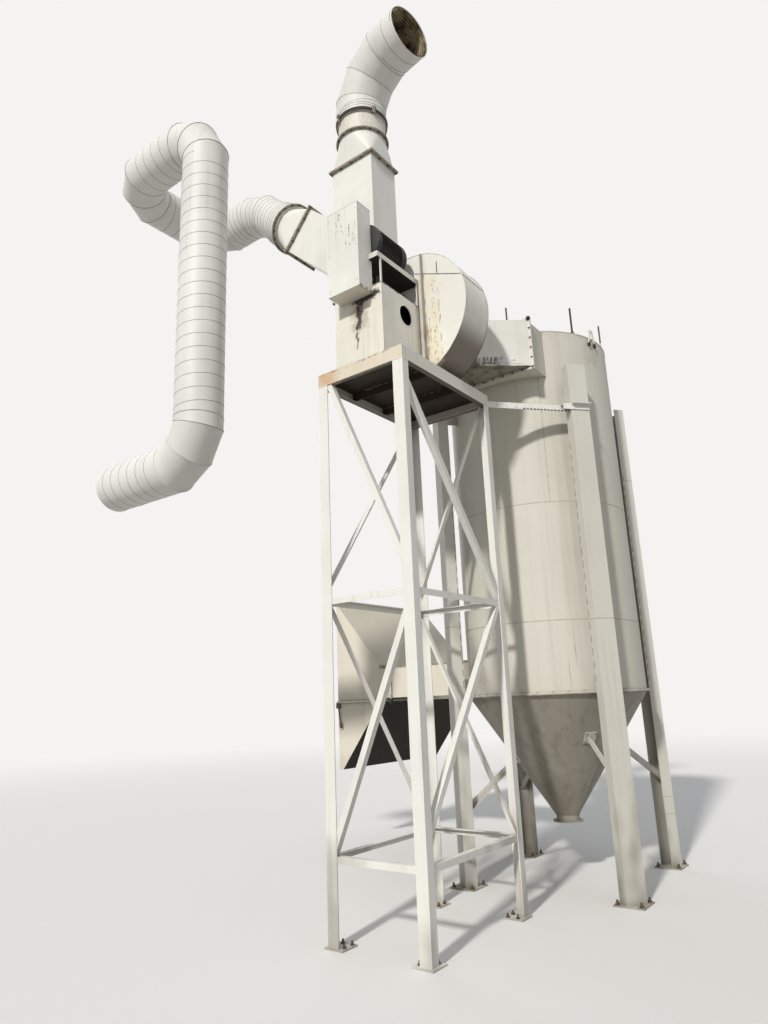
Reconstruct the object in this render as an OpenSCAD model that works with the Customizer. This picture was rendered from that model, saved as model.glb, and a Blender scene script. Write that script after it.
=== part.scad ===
/* [Tower] */
// width of the tower over the leg corners, along the long side
tower_w = 1390; // [1200:10:1600]
// depth of the tower over the leg corners
tower_d = 900; // [750:10:1100]
// height of the platform frame above the floor
tower_h = 4480; // [4000:10:5000]
// wide flange of the leg angle
leg_a = 100; // [70:1:120]
// narrow flange of the leg angle
leg_b = 80; // [60:1:100]
// thickness of the leg angle
leg_t = 8; // [5:1:12]
// height of the platform channel
channel_h = 115; // [80:1:140]
// flange width of the platform channel
channel_b = 50; // [40:1:65]
// web and flange thickness of the platform channel
channel_t = 7; // [5:1:10]
// leg length of the bracing angles
brace_b = 50; // [40:1:65]
// thickness of the bracing angles
brace_t = 5; // [4:1:8]
// length of a brace hidden under the leg flange
brace_lap = 140; // [60:5:200]
// top of the middle ring of horizontals
ring_mid_z = 2520; // [2300:10:2800]
// top of the lower ring of horizontals
ring_low_z = 617; // [400:1:900]
// edge of the square base plates of the tower
foot_b = 170; // [140:5:240]
// thickness of the base plates
foot_t = 12; // [8:1:20]
// diameter of the anchor holes
foot_hole_d = 18; // [12:1:24]
// thickness of the deck plate
deck_t = 6; // [4:1:10]
// height of the channel lip above the deck
deck_drop = 20; // [10:1:40]
// overhang of a base plate beyond the leg corner
foot_out = 20; // [10:1:30]
// distance of an anchor hole from the plate edge
foot_edge = 27; // [20:1:40]
// leg length of the strut to the vessel leg
tie_b = 60; // [40:1:80]
// thickness of that strut
tie_t = 6; // [4:1:10]
// radius of the holes in that strut
tie_hole_r = 6; // [4:1:9]

/* [Bracing ends] */
// left face, upper: top end from its corner and under the frame, low end from its corner and over the ring
br_left_up = [126, 36, 108, 268];
// left face, lower
br_left_low = [97, 152, 99, 115];
// front face, upper
br_front_up = [102, 209, 145, 133];
// front face, lower
br_front_low = [147, 77, 127, 263];
// right face, upper
br_right_up = [104, 33, 78, 266];
// right face, lower
br_right_low = [80, 160, 95, 95];
// back face, upper
br_back_up = [130, 125, 130, 180];
// back face, lower
br_back_low = [140, 90, 130, 133];

/* [Fan] */
// side of the casing nearest the motor, from the tower corner
casing_x = 637; // [560:1:720]
// width of the casing and of the discharge duct
casing_w = 400; // [300:1:500]
// along-depth place of the first scroll centre
scroll_y = 310; // [250:1:360]
// smallest scroll radius
scroll_r = 465; // [400:1:520]
// growth of the scroll radius per quarter
scroll_e = 110; // [80:1:130]
// sheet thickness of the casing and ducts
sheet = 4; // [3:1:8]
// fan inlet radius
inlet_r = 230; // [180:1:300]
// height of the casing outlet above the first scroll centre
outlet_h = 350; // [280:1:480]
// depth of the upright rib on the casing
rib_y = 160; // [120:1:210]
// overhang of the casing rib
rib_b = 40; // [20:1:60]
// height of the casing rib
rib_h = 1225; // [900:5:1235]
// pedestal face, from the tower corner
ped_x = 61; // [20:1:120]
// pedestal length
ped_l = 560; // [450:1:570]
// pedestal near side, depth
ped_y = 219; // [150:1:260]
// pedestal width
ped_w = 520; // [420:1:600]
// pedestal height over the deck
ped_h = 710; // [600:1:800]
// radius of the round hole in the pedestal
ped_hole_r = 90; // [60:1:120]
// height of the pedestal hole over the deck
ped_hole_z = 526; // [380:1:580]
// distance of the hole from the outer end of the pedestal
ped_hole_x = 342; // [250:1:400]
// height of the motor table top over the pedestal
table_h = 276; // [250:1:330]
// thickness of the table posts
table_post = 14; // [10:1:30]
// near end of the motor table
table_x = 18; // [-20:1:60]
// motor table thickness
table_t = 50; // [30:1:70]
// motor axis depth
motor_y = 410; // [350:1:460]
// motor frame radius
motor_r = 165; // [120:1:190]
// motor axis height over the table
motor_h = 178; // [170:1:220]
// motor frame length
motor_l = 430; // [350:1:480]
// width over the motor feet
motor_foot_b = 240; // [200:1:300]
// height of the motor feet
motor_foot_h = 60; // [40:1:80]
// motor shaft radius
motor_shaft_r = 24; // [15:1:30]
// shaft axis height over the pedestal
shaft_h = 85; // [60:1:110]
// shaft radius
shaft_r = 30; // [20:1:40]
// bearing housing radius
bearing_r = 62; // [50:1:70]
// bearing housing length
bearing_l = 70; // [50:1:90]
// bearing foot width
bearing_w = 180; // [140:1:220]
// distance of a bearing from the pedestal end
bearing_in = 75; // [40:1:120]
// plate thickness of the pedestal
plate = 5; // [3:1:8]
// belt guard depth along the shaft
guard_l = 180; // [120:1:220]
// belt guard width
guard_w = 345; // [300:1:420]
// belt guard near side, depth
guard_y = 315; // [280:1:360]
// belt guard bottom below the pedestal top
guard_drop = 80; // [20:1:160]
// belt guard height
guard_h = 817; // [700:1:900]

/* [Discharge duct] */
// duct near side, depth
duct_y = 701; // [650:1:760]
// length of the straight duct
duct_l = 1537; // [1300:1:1800]
// flange overhang
flange_b = 30; // [20:1:45]
// flange thickness
flange_t = 10; // [6:1:16]
// length of the square to round piece
change_l = 337; // [250:1:450]
// radius of the stack collar
collar_r = 251; // [220:1:280]
// length of the stack collar
collar_l = 257; // [150:1:400]
// height of the clamp ring between collar and elbow
clamp_h = 25; // [15:1:40]
// overhang of the clamp ring over the elbow
clamp_b = 8; // [4:1:15]
// radius of the stack elbow
stack_r = 268; // [255:1:300]
// length of the stack elbow below its first mitre
stack_c = 231; // [90:1:400]
// gore length of the stack elbow on the centre line
stack_s = 300; // [240:1:360]
// last straight of the stack elbow
stack_end = 358; // [250:1:450]
// sideways turn of the stack elbow, degrees
stack_turn = 9; // [-30:1:30]
// length of the widened socket at an open duct end
socket_l = 120; // [80:5:200]

/* [Return duct] */
// radius of the return duct
ret_r = 225; // [200:1:250]
// angle of the branch over level
branch_a = 42; // [35:1:50]
// height over the casing flange where the branch axis leaves the duct side
branch_up = 631; // [480:1:750]
// clear height of the branch
branch_h = 500; // [440:1:540]
// length of the branch from the duct side on the axis
branch_l = 680; // [500:1:800]
// square to round length of the branch
branch_c = 364; // [250:1:450]
// height of the level runs over the start of the branch
ret_up = 1159; // [1000:1:1400]
// gore length of the return bends
ret_s = 241; // [200:1:300]
// gore length of the first return bend
rise_s = 250; // [200:1:300]
// length of the plain collar at each end of a bend
ret_c = 75; // [68:1:120]
// overhang of the standing seam at a mitre
seam_b = 5; // [3:1:8]
// thickness of the standing seam at a mitre
seam_t = 4; // [3:1:8]
// depth of the cross run
ret_y1 = 3344; // [3200:1:3500]
// place of the drop along the wall
ret_x = -413; // [-600:1:-300]
// depth of the drop
ret_y2 = 2000; // [1850:1:2150]
// axis height of the wall entry
ret_z2 = 3853; // [3700:1:4000]
// depth of the wall face
wall_y = 3250; // [3100:1:3400]

/* [Vessel] */
// place of the vessel axis along the wall
ves_x = 2792; // [2700:1:2900]
// place of the vessel axis in depth
ves_y = 221; // [150:1:300]
// outer radius of the shell
ves_r = 880; // [800:5:950]
// wall thickness of the shell and cone
ves_t = 6; // [5:1:10]
// height of the bottom ring of the shell
ves_z = 1712; // [1600:1:1800]
// height of the shell rim
ves_top = 5340; // [5200:1:5500]
// rise of the roof
roof_h = 120; // [60:1:200]
// radius of the roof rods
rod_r = 9; // [6:1:15]
// height of the roof rods over the rim
rod_h = 330; // [200:5:500]
// radius of the dust outlet
out_r = 110; // [90:1:150]
// height of the dust outlet flange
out_z = 500; // [420:1:600]
// radius of the ring of legs
leg_ring = 1066; // [1000:1:1150]
// turn of the leg ring, degrees
leg_turn = 50; // [45:1:55]
// broad side of the vessel legs
post_b = 190; // [150:1:210]
// flange width of the vessel legs
post_d = 112; // [80:1:150]
// web and flange thickness of the vessel legs
post_t = 8; // [5:1:12]
// height of the vessel legs
post_h = 4850; // [4700:1:5000]
// height of the shell brackets
lug_h = 150; // [80:1:200]
// thickness of the shell brackets
lug_t = 12; // [8:1:20]
// drop of the upper bracket below the leg top
lug_drop = 100; // [50:1:300]
// edge of the vessel base plates
pad_b = 260; // [220:1:320]
// heights of the struts at the cone, leg a to leg d
strut_z = [1307, 1251, 1180, 1112];
// slope of the cone struts below level, degrees
strut_a = 39; // [25:1:55]
// diameter of the anchor holes of the vessel
pad_hole_d = 22; // [18:1:26]
// distance of an anchor hole of the vessel from the plate edge
pad_edge = 30; // [25:1:45]
// edge of the square strut pads on the cone
strut_pad = 120; // [80:5:160]
// far end of the fan inlet piece
inlet_x = 1766; // [1700:1:1850]
// length of the tapered box of the fan inlet
taper_l = 340; // [250:1:450]
// half width of that box at its narrow end
taper_w = 300; // [250:1:350]
// half width of the box on the vessel
box_w = 536; // [450:1:560]
// bottom of the box on the vessel
box_z = 4825; // [4750:1:4900]
// height of the box on the vessel
box_h = 495; // [450:1:515]

/* [Intake] */
// near end of the wall hood from the vessel axis
hood_dx = 98; // [20:1:200]
// length of the wall hood
hood_l = 2100; // [1900:10:2300]
// front of the wall hood, depth
hood_y = 2570; // [2500:1:2650]
// height of the hood front
hood_h = 428; // [400:1:520]
// height of the hood at the wall
hood_back = 1258; // [1100:1:1400]
// height of the intake hopper
hop_h = 812; // [700:1:1000]
// depth of the hopper mouth at the wall
hop_d = 60; // [40:1:150]
// width of the link duct
link_w = 700; // [600:1:760]
// height of the link duct
link_h = 378; // [300:1:390]
// height of the link duct over the vessel ring
link_up = 30; // [10:1:60]

/* [Hidden] */
e = 0.5;
gap = 4;
deck_z = tower_h - deck_drop;
taper_x = inlet_x - flange_t - taper_l;
leg_top = tower_h - channel_h;
scroll_z = deck_z + scroll_r + 3 * scroll_e;
duct_y2 = scroll_y + scroll_r + 4 * scroll_e;
duct_d = duct_y2 - duct_y;
duct_xc = casing_x + casing_w / 2;
duct_yc = (duct_y + duct_y2) / 2;
shaft_y = scroll_y + scroll_e / 2;
shaft_z = deck_z + ped_h + shaft_h;
table_z = deck_z + ped_h + table_h;
guard_z = deck_z + ped_h - guard_drop;
casing_top = scroll_z + outlet_h;
duct_top = casing_top + duct_l;
collar_top = duct_top + change_l + collar_l;
branch_z = casing_top + branch_up;
ret_z = branch_z + ret_up;
bs = sin(branch_a);
bc = cos(branch_a);
ring_y = duct_y2 + (branch_l + branch_c) * bc;
ring_z = branch_z + (branch_l + branch_c) * bs;
rise_l = (ret_z - ring_z - rise_s * sin(branch_a / 2)) / bs;
rise_y = ring_y + rise_l * bc + rise_s * cos(branch_a / 2);
ret_t = ret_s * (cos(30) + cos(60));
pad_p = pad_b / 2 - pad_edge;
hood_x = ves_x + hood_dx;
hood_z = ves_z + hood_h;
hood_top = ves_z + hood_back;
hop_z = ves_z - hop_h;
link_z = ves_z + link_up;
min_x = ret_x - ret_r;
max_x = hood_x + hood_l;
min_y = ves_y - leg_ring * sin(leg_turn) - pad_b / 2;
max_y = ret_y1 + ret_r;
mid_x = (min_x + max_x) / 2;
mid_y = (min_y + max_y) / 2;

// whole plant moved so that the floor centre is the origin
module place() {
  translate([-mid_x, -mid_y, 0]) children();
}

// angle section standing up with its corner at the origin
module angle_post(a, b, t, h) {
  cube([b, t, h]);
  cube([t, a, h]);
}

// tower leg in the first corner
module tower_leg() {
  f1 = foot_b - foot_out - foot_edge;
  f0 = leg_t + foot_edge;
  difference() {
    translate([-foot_out, -foot_out, 0]) cube([foot_b, foot_b, foot_t]);
    for (p = [[f1, f1], [f1, f0], [f0, f1]]) translate([p[0], p[1], -e]) cylinder(d = foot_hole_d, h = foot_t + 2 * e, $fn = 32);
  }
  translate([0, 0, foot_t]) angle_post(leg_a, leg_b, leg_t, leg_top - foot_t);
}

// angle brace in the XZ plane over a bay w wide from z0 to z1, top end at the far corner or the near one
module brace(v, w, z0, z1, far) {
  x0 = far ? w - v[0] : v[0];
  x1 = far ? v[2] : w - v[2];
  dx = x1 - x0;
  dz = z0 + v[3] - z1 + v[1];
  l = sqrt(dx * dx + dz * dz) + 2 * brace_lap;
  intersection() {
    translate([x0, 0, z1 - v[1]]) rotate([0, -atan2(dz, dx), 0]) translate([-brace_lap, 0, -brace_b / 2]) {
      cube([l, brace_t, brace_b]);
      cube([l, brace_b, brace_t]);
    }
    translate([leg_t + gap, -1, z0]) cube([w - 2 * leg_t - 2 * gap, brace_b + 2, z1 - z0]);
  }
}

// upper and lower brace of one face
module pair(up, low, w, far) {
  brace(up, w, ring_mid_z, leg_top, far);
  brace(low, w, ring_low_z, ring_mid_z - brace_b, !far);
}

// one straight of round duct along Z with wall w, cut by mitre planes, standing seam at the far one
module seg(r, w, l, a0, a1) {
  x0 = a0 == 0 ? 0 : r * tan(a0) + 12;
  x1 = a1 == 0 ? 0 : r * tan(a1) + 12;
  difference() {
    union() {
      translate([0, 0, -x0]) cylinder(r = r, h = l + x0 + x1, $fn = 64);
      if (a1 != 0) difference() {
        translate([0, 0, l - x1 - 12]) cylinder(r = r + seam_b, h = 2 * x1 + 24, $fn = 64);
        translate([0, 0, l]) rotate([-a1, 0, 0]) translate([-2 * r, -2 * r, -4 * r - seam_t]) cube([4 * r, 4 * r, 4 * r]);
      }
    }
    translate([0, 0, -x0 - 5]) cylinder(r = r - w, h = l + x0 + x1 + 20, $fn = 64);
    if (a0 != 0) rotate([a0, 0, 0]) translate([-2 * r, -2 * r, -4 * r]) cube([4 * r, 4 * r, 4 * r]);
    if (a1 != 0) translate([0, 0, l]) rotate([-a1, 0, 0]) translate([-2 * r, -2 * r, 0]) cube([4 * r, 4 * r, 4 * r]);
  }
}

// mitred bend starting along Z and turning towards Y, with a widened socket at its far end if it is open
module bend(r, k, angle, s, c0, c1, socket = 0) {
  st = angle / k;
  seg(r, sheet, c0, 0, st / 2);
  translate([0, 0, c0]) rotate([-st, 0, 0]) {
    seg(r, sheet + 1, s, st / 2, st / 2);
    translate([0, 0, s]) rotate([-st, 0, 0]) {
      seg(r, sheet, k == 2 ? c1 : s, st / 2, k == 2 ? 0 : st / 2);
      if (k > 2) translate([0, 0, s]) rotate([-st, 0, 0]) difference() {
        seg(r, sheet + 1, c1, st / 2, 0);
        if (socket > 0) translate([0, 0, c1 - socket]) cylinder(r = r - sheet, h = socket + e, $fn = 64);
      }
    }
  }
}

// quarter disc of the scroll, o is the inset, q the quarter
module quarter(y, z, r, sy, sz, o, w) {
  translate([0, y, z]) intersection() {
    rotate([0, 90, 0]) cylinder(r = r - o, h = w, $fn = 96);
    translate([0, sy > 0 ? 0 : -r, sz > 0 ? 0 : -r]) cube([w, r, r]);
  }
}

// filled scroll shape w wide, inset by o
module scroll(w, o, up) {
  quarter(scroll_y, scroll_z, scroll_r, 1, 1, o, w);
  quarter(scroll_y, scroll_z - scroll_e, scroll_r + scroll_e, -1, 1, o, w);
  quarter(scroll_y + scroll_e, scroll_z - scroll_e, scroll_r + 2 * scroll_e, -1, -1, o, w);
  quarter(scroll_y + scroll_e, scroll_z, scroll_r + 3 * scroll_e, 1, -1, o, w);
  translate([0, scroll_y, scroll_z - scroll_e]) cube([w, scroll_e, scroll_e]);
  translate([0, duct_y + o, scroll_z]) cube([w, duct_d - 2 * o, up]);
}

// rectangular frame flange lying level round a duct
module frame(x, y, w, d, b, t) {
  difference() {
    translate([x - b, y - b, 0]) cube([w + 2 * b, d + 2 * b, t]);
    translate([x + e, y + e, -e]) cube([w - 2 * e, d - 2 * e, t + 2 * e]);
  }
}

module leg_front() {
  color("white") place() tower_leg();
}

module leg_right() {
  color("white") place() translate([tower_w, 0, 0]) mirror([1, 0, 0]) tower_leg();
}

module leg_left() {
  color("white") place() translate([0, tower_d, 0]) mirror([0, 1, 0]) tower_leg();
}

module leg_back() {
  color("white") place() translate([tower_w, tower_d, 0]) mirror([1, 0, 0]) mirror([0, 1, 0]) tower_leg();
}

module platform_frame() {
  color("white") place() difference() {
    translate([0, 0, leg_top]) cube([tower_w, tower_d, channel_h]);
    translate([channel_t, channel_t, leg_top + channel_t]) cube([tower_w - 2 * channel_t, tower_d - 2 * channel_t, channel_h - deck_drop - deck_t - channel_t]);
    translate([channel_b, channel_b, leg_top - e]) cube([tower_w - 2 * channel_b, tower_d - 2 * channel_b, channel_h + 2 * e]);
    translate([channel_t, channel_t, deck_z - deck_t - e]) cube([tower_w - 2 * channel_t, tower_d - 2 * channel_t, channel_h]);
  }
}

module platform_deck() {
  color("white") place() union() {
    translate([channel_t, channel_t, deck_z - deck_t]) cube([tower_w - 2 * channel_t, tower_d - 2 * channel_t, deck_t]);
    for (x = [tower_w * 0.33, tower_w * 0.66]) translate([x, channel_t, leg_top + channel_t + 5]) cube([brace_t, tower_d - 2 * channel_t, channel_h - deck_drop - deck_t - channel_t - 5]);
  }
}

module ring_bars(z) {
  translate([leg_t, leg_t, z - brace_b]) difference() {
    cube([tower_w - 2 * leg_t, tower_d - 2 * leg_t, brace_b]);
    translate([brace_t, brace_t, -e]) cube([tower_w - 2 * leg_t - 2 * brace_t, tower_d - 2 * leg_t - 2 * brace_t, brace_b - brace_t + e]);
    translate([brace_b, brace_b, -e]) cube([tower_w - 2 * leg_t - 2 * brace_b, tower_d - 2 * leg_t - 2 * brace_b, brace_b + 2 * e]);
  }
}

module tower_rings() {
  color("white") place() {
    ring_bars(ring_mid_z);
    ring_bars(ring_low_z);
  }
}

module face_left(up, low, far) {
  translate([leg_t, 0, 0]) rotate([0, 0, 90]) mirror([0, 1, 0]) pair(up, low, tower_d, far);
}

module braces_left() {
  color("white") place() face_left(br_left_up, br_left_low, true);
}

module braces_front() {
  color("white") place() translate([0, leg_t, 0]) pair(br_front_up, br_front_low, tower_w, false);
}

module braces_right() {
  color("white") place() translate([tower_w, 0, 0]) mirror([1, 0, 0]) face_left(br_right_up, br_right_low, false);
}

module braces_back() {
  color("white") place() translate([0, tower_d - leg_t, 0]) mirror([0, 1, 0]) pair(br_back_up, br_back_low, tower_w, true);
}

module platform_strut() {
  sx = ves_x - leg_ring * cos(leg_turn);
  sy = ves_y - leg_ring * sin(leg_turn);
  dx = sx - tower_w;
  dy = sy;
  l = sqrt(dx * dx + dy * dy) - post_d / 2;
  color("white") place() translate([tower_w, 0, leg_top]) rotate([0, 0, atan2(dy, dx)]) difference() {
    union() {
      cube([l, tie_t, tie_b]);
      translate([0, 0, tie_b - tie_t]) cube([l, tie_b, tie_t]);
    }
    for (i = [1 : 8]) translate([i * l / 9, -e, 2.5 * tie_hole_r]) rotate([-90, 0, 0]) cylinder(r = tie_hole_r, h = tie_t + 2 * e, $fn = 24);
  }
}

module fan_pedestal() {
  color("white") place() difference() {
    translate([ped_x, ped_y, deck_z]) cube([ped_l, ped_w, ped_h]);
    translate([ped_x + plate, ped_y + plate, deck_z - e]) cube([ped_l - 2 * plate, ped_w - 2 * plate, ped_h - plate]);
    translate([ped_x + ped_hole_x, ped_y - e, deck_z + ped_hole_z]) rotate([-90, 0, 0]) cylinder(r = ped_hole_r, h = plate + 2 * e, $fn = 64);
  }
}

module motor_table() {
  color("white") place() difference() {
    union() {
      translate([table_x, ped_y, table_z - table_t]) cube([casing_x - 2 - table_x, ped_w - 20, table_t]);
      for (x = [ped_x, ped_x + ped_l - table_post]) for (y = [ped_y, ped_y + ped_w - 20 - table_post]) translate([x, y, deck_z + ped_h]) cube([table_post, table_post, table_h - table_t + 1]);
    }
    translate([table_x - 1, guard_y - 1, table_z - table_t - 1]) cube([ped_x - table_x + 2, guard_w + 2, table_t + 2]);
  }
}

module motor() {
  color("dimgray") place() translate([ped_x + 15, motor_y, table_z + motor_h]) {
    rotate([0, 90, 0]) cylinder(r = motor_r, h = motor_l, $fn = 64);
    translate([-guard_l * 0.6, 0, 0]) rotate([0, 90, 0]) cylinder(r = motor_shaft_r, h = guard_l * 0.6 + 10, $fn = 32);
    translate([motor_l * 0.1, -motor_foot_b / 2, -motor_h]) cube([motor_l * 0.8, motor_foot_b, motor_foot_h]);
  }
}

module fan_shaft() {
  x0 = ped_x - guard_l * 0.75;
  color("dimgray") place() translate([0, shaft_y, shaft_z]) {
    translate([x0, 0, 0]) rotate([0, 90, 0]) cylinder(r = shaft_r, h = duct_xc - x0, $fn = 32);
    for (x = [ped_x + bearing_in, ped_x + ped_l - bearing_in - bearing_l]) {
      translate([x, -bearing_w / 2, -shaft_h]) cube([bearing_l, bearing_w, shaft_h * 0.6]);
      translate([x, 0, 0]) rotate([0, 90, 0]) cylinder(r = bearing_r, h = bearing_l, $fn = 48);
    }
  }
}

module belt_guard() {
  color("white") place() translate([ped_x - guard_l, guard_y, guard_z]) difference() {
    cube([guard_l, guard_w, guard_h]);
    translate([sheet, sheet, sheet]) cube([guard_l, guard_w - 2 * sheet, guard_h - 2 * sheet]);
  }
}

module fan_casing() {
  color("white") place() translate([casing_x, 0, 0]) {
    difference() {
      scroll(casing_w, 0, outlet_h);
      translate([sheet, 0, 0]) scroll(casing_w - 2 * sheet, sheet, outlet_h + 50);
      translate([casing_w / 2, shaft_y, shaft_z]) rotate([0, 90, 0]) cylinder(r = inlet_r, h = casing_w, $fn = 64);
      translate([-casing_w / 2, shaft_y, shaft_z]) rotate([0, 90, 0]) cylinder(r = shaft_r + 15, h = casing_w, $fn = 48);
    }
    translate([-rib_b, rib_y, deck_z]) cube([rib_b, 8, rib_h]);
    translate([0, 0, casing_top - flange_t]) frame(0, duct_y, casing_w, duct_d, flange_b, flange_t);
  }
}

// tapered box of the inlet seen from above, o is the inset and x the overrun
module inlet_plan(o, x) {
  polygon([[inlet_x - flange_t + x, ves_y - box_w + o], [inlet_x - flange_t + x, ves_y + box_w - o], [taper_x - x, shaft_y + taper_w - o], [taper_x - x, shaft_y - taper_w + o]]);
}

module fan_inlet_box() {
  x0 = casing_x + casing_w;
  color("white") place() difference() {
    union() {
      translate([0, 0, box_z]) linear_extrude(box_h) inlet_plan(0, 0);
      hull() {
        translate([x0, shaft_y, shaft_z]) rotate([0, 90, 0]) cylinder(r = inlet_r + 20, h = 20, $fn = 32);
        translate([taper_x, shaft_y - taper_w, box_z]) cube([2, 2 * taper_w, box_h]);
      }
      translate([inlet_x - flange_t, ves_y - box_w - flange_b, box_z - flange_b]) cube([flange_t, 2 * box_w + 2 * flange_b, box_h + 2 * flange_b]);
    }
    translate([0, 0, box_z + sheet]) linear_extrude(box_h - 2 * sheet) inlet_plan(sheet, 1);
    translate([inlet_x - flange_t - 1, ves_y - box_w + sheet, box_z + sheet]) cube([flange_t + 2, 2 * box_w - 2 * sheet, box_h - 2 * sheet]);
    hull() {
      translate([x0 - 1, shaft_y, shaft_z]) rotate([0, 90, 0]) cylinder(r = inlet_r + 20 - sheet, h = 20, $fn = 32);
      translate([taper_x, shaft_y - taper_w + sheet, box_z + sheet]) cube([2, 2 * taper_w - 2 * sheet, box_h - 2 * sheet]);
    }
  }
}

module vessel_box() {
  color("white") place() difference() {
    union() {
      translate([inlet_x, ves_y - box_w - flange_b, box_z - flange_b]) cube([10, 2 * box_w + 2 * flange_b, box_h + 2 * flange_b]);
      translate([inlet_x, ves_y - box_w, box_z]) cube([ves_x - inlet_x, 2 * box_w, box_h]);
    }
    translate([inlet_x - 1, ves_y - box_w + sheet, box_z + sheet]) cube([ves_x - inlet_x + 2, 2 * box_w - 2 * sheet, box_h - 2 * sheet]);
    translate([ves_x, ves_y, box_z - 100]) cylinder(r = ves_r, h = box_h + 200, $fn = 128);
  }
}

module discharge_duct() {
  hb = branch_h / 2 / bc;
  color("white") place() {
    difference() {
      translate([casing_x, duct_y, casing_top]) cube([casing_w, duct_d, duct_top - casing_top]);
      translate([casing_x + sheet, duct_y + sheet, casing_top - e]) cube([casing_w - 2 * sheet, duct_d - 2 * sheet, duct_top - casing_top + 2 * e]);
      translate([casing_x + sheet, duct_y2 - 20, branch_z - hb]) cube([casing_w - 2 * sheet, 40, 2 * hb]);
    }
    translate([0, 0, casing_top]) frame(casing_x, duct_y, casing_w, duct_d, flange_b, flange_t);
    translate([0, 0, duct_top - flange_t]) frame(casing_x, duct_y, casing_w, duct_d, flange_b, flange_t);
  }
}

module branch_duct() {
  color("white") place() difference() {
    translate([casing_x, duct_y2, branch_z]) rotate([branch_a, 0, 0]) {
      translate([0, -400, -branch_h / 2]) cube([casing_w, branch_l + 400, branch_h]);
      translate([-flange_b, branch_l - flange_t, -branch_h / 2 - flange_b]) cube([casing_w + 2 * flange_b, flange_t, branch_h + 2 * flange_b]);
    }
    translate([casing_x, duct_y2, branch_z]) rotate([branch_a, 0, 0]) translate([sheet, -500, -branch_h / 2 + sheet]) cube([casing_w - 2 * sheet, branch_l + 600, branch_h - 2 * sheet]);
    translate([casing_x - 100, duct_y2 - 1000, branch_z - 1000]) cube([casing_w + 200, 1000, 2000]);
  }
}

module stack_transition() {
  color("white") place() {
    difference() {
      hull() {
        translate([casing_x, duct_y, duct_top]) cube([casing_w, duct_d, 2]);
        translate([duct_xc, duct_yc, duct_top + change_l - 2]) cylinder(r = collar_r, h = 2, $fn = 32);
      }
      hull() {
        translate([casing_x + sheet, duct_y + sheet, duct_top - 1]) cube([casing_w - 2 * sheet, duct_d - 2 * sheet, 2]);
        translate([duct_xc, duct_yc, duct_top + change_l - 1]) cylinder(r = collar_r - sheet, h = 2, $fn = 32);
      }
    }
    translate([0, 0, duct_top]) frame(casing_x, duct_y, casing_w, duct_d, flange_b, flange_t);
  }
}

module stack_collar() {
  z0 = duct_top + change_l;
  color("white") place() translate([duct_xc, duct_yc, 0]) difference() {
    union() {
      translate([0, 0, z0]) cylinder(r = collar_r, h = collar_top - z0, $fn = 64);
      translate([0, 0, z0]) cylinder(r = collar_r + flange_b, h = flange_t, $fn = 64);
      translate([0, 0, collar_top - clamp_h]) cylinder(r = stack_r + clamp_b, h = clamp_h, $fn = 64);
    }
    translate([0, 0, z0 - 1]) cylinder(r = collar_r - sheet, h = collar_top - z0 + 2, $fn = 64);
  }
}

module stack_elbow() {
  color("white") place() translate([duct_xc, duct_yc, collar_top]) rotate([0, 0, 180 - stack_turn]) bend(stack_r, 3, 90, stack_s, stack_c, stack_end, socket_l);
}

module branch_transition() {
  color("white") place() translate([duct_xc, duct_y2, branch_z]) rotate([branch_a - 90, 0, 0]) translate([0, 0, branch_l]) {
    difference() {
      hull() {
        translate([-casing_w / 2, -branch_h / 2, 0]) cube([casing_w, branch_h, 2]);
        translate([0, 0, branch_c - 2]) cylinder(r = ret_r, h = 2, $fn = 32);
      }
      hull() {
        translate([-casing_w / 2 + sheet, -branch_h / 2 + sheet, -1]) cube([casing_w - 2 * sheet, branch_h - 2 * sheet, 2]);
        translate([0, 0, branch_c - 1]) cylinder(r = ret_r - sheet, h = 2, $fn = 32);
      }
    }
    difference() {
      translate([-casing_w / 2 - flange_b, -branch_h / 2 - flange_b, 0]) cube([casing_w + 2 * flange_b, branch_h + 2 * flange_b, flange_t]);
      translate([-casing_w / 2 + sheet, -branch_h / 2 + sheet, -1]) cube([casing_w - 2 * sheet, branch_h - 2 * sheet, flange_t + 2]);
    }
  }
}

module return_riser() {
  color("white") place() translate([duct_xc, ring_y, ring_z]) rotate([branch_a - 90, 0, 0]) bend(ret_r, 2, branch_a, rise_s, rise_l, ret_y1 - ret_t - ret_c - rise_y);
}

module return_cross() {
  color("white") place() translate([duct_xc, ret_y1 - ret_t - ret_c, ret_z]) rotate([-90, 90, 0]) bend(ret_r, 3, 90, ret_s, ret_c, duct_xc - ret_x - 2 * ret_t - ret_c);
}

module return_front() {
  color("white") place() translate([ret_x + ret_t + ret_c, ret_y1, ret_z]) rotate([0, -90, 0]) rotate([0, 0, 180]) bend(ret_r, 3, 90, ret_s, ret_c, ret_y1 - ret_y2 - 2 * ret_t - ret_c);
}

module return_turn() {
  color("white") place() translate([ret_x, ret_y2 + ret_t + ret_c, ret_z]) rotate([90, 0, 0]) rotate([0, 0, 180]) bend(ret_r, 3, 90, ret_s, ret_c, ret_c);
}

module return_drop() {
  color("white") place() translate([ret_x, ret_y2, ret_z2 + ret_t + ret_c]) difference() {
    cylinder(r = ret_r, h = ret_z - ret_z2 - 2 * ret_t - 2 * ret_c, $fn = 64);
    translate([0, 0, -1]) cylinder(r = ret_r - sheet, h = ret_z - ret_z2, $fn = 64);
  }
}

module return_wall() {
  color("white") place() translate([ret_x, ret_y2, ret_z2 + ret_t + ret_c]) rotate([0, 180, 0]) bend(ret_r, 3, 90, ret_s, ret_c, wall_y - ret_y2 - ret_t, socket_l);
}

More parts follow.
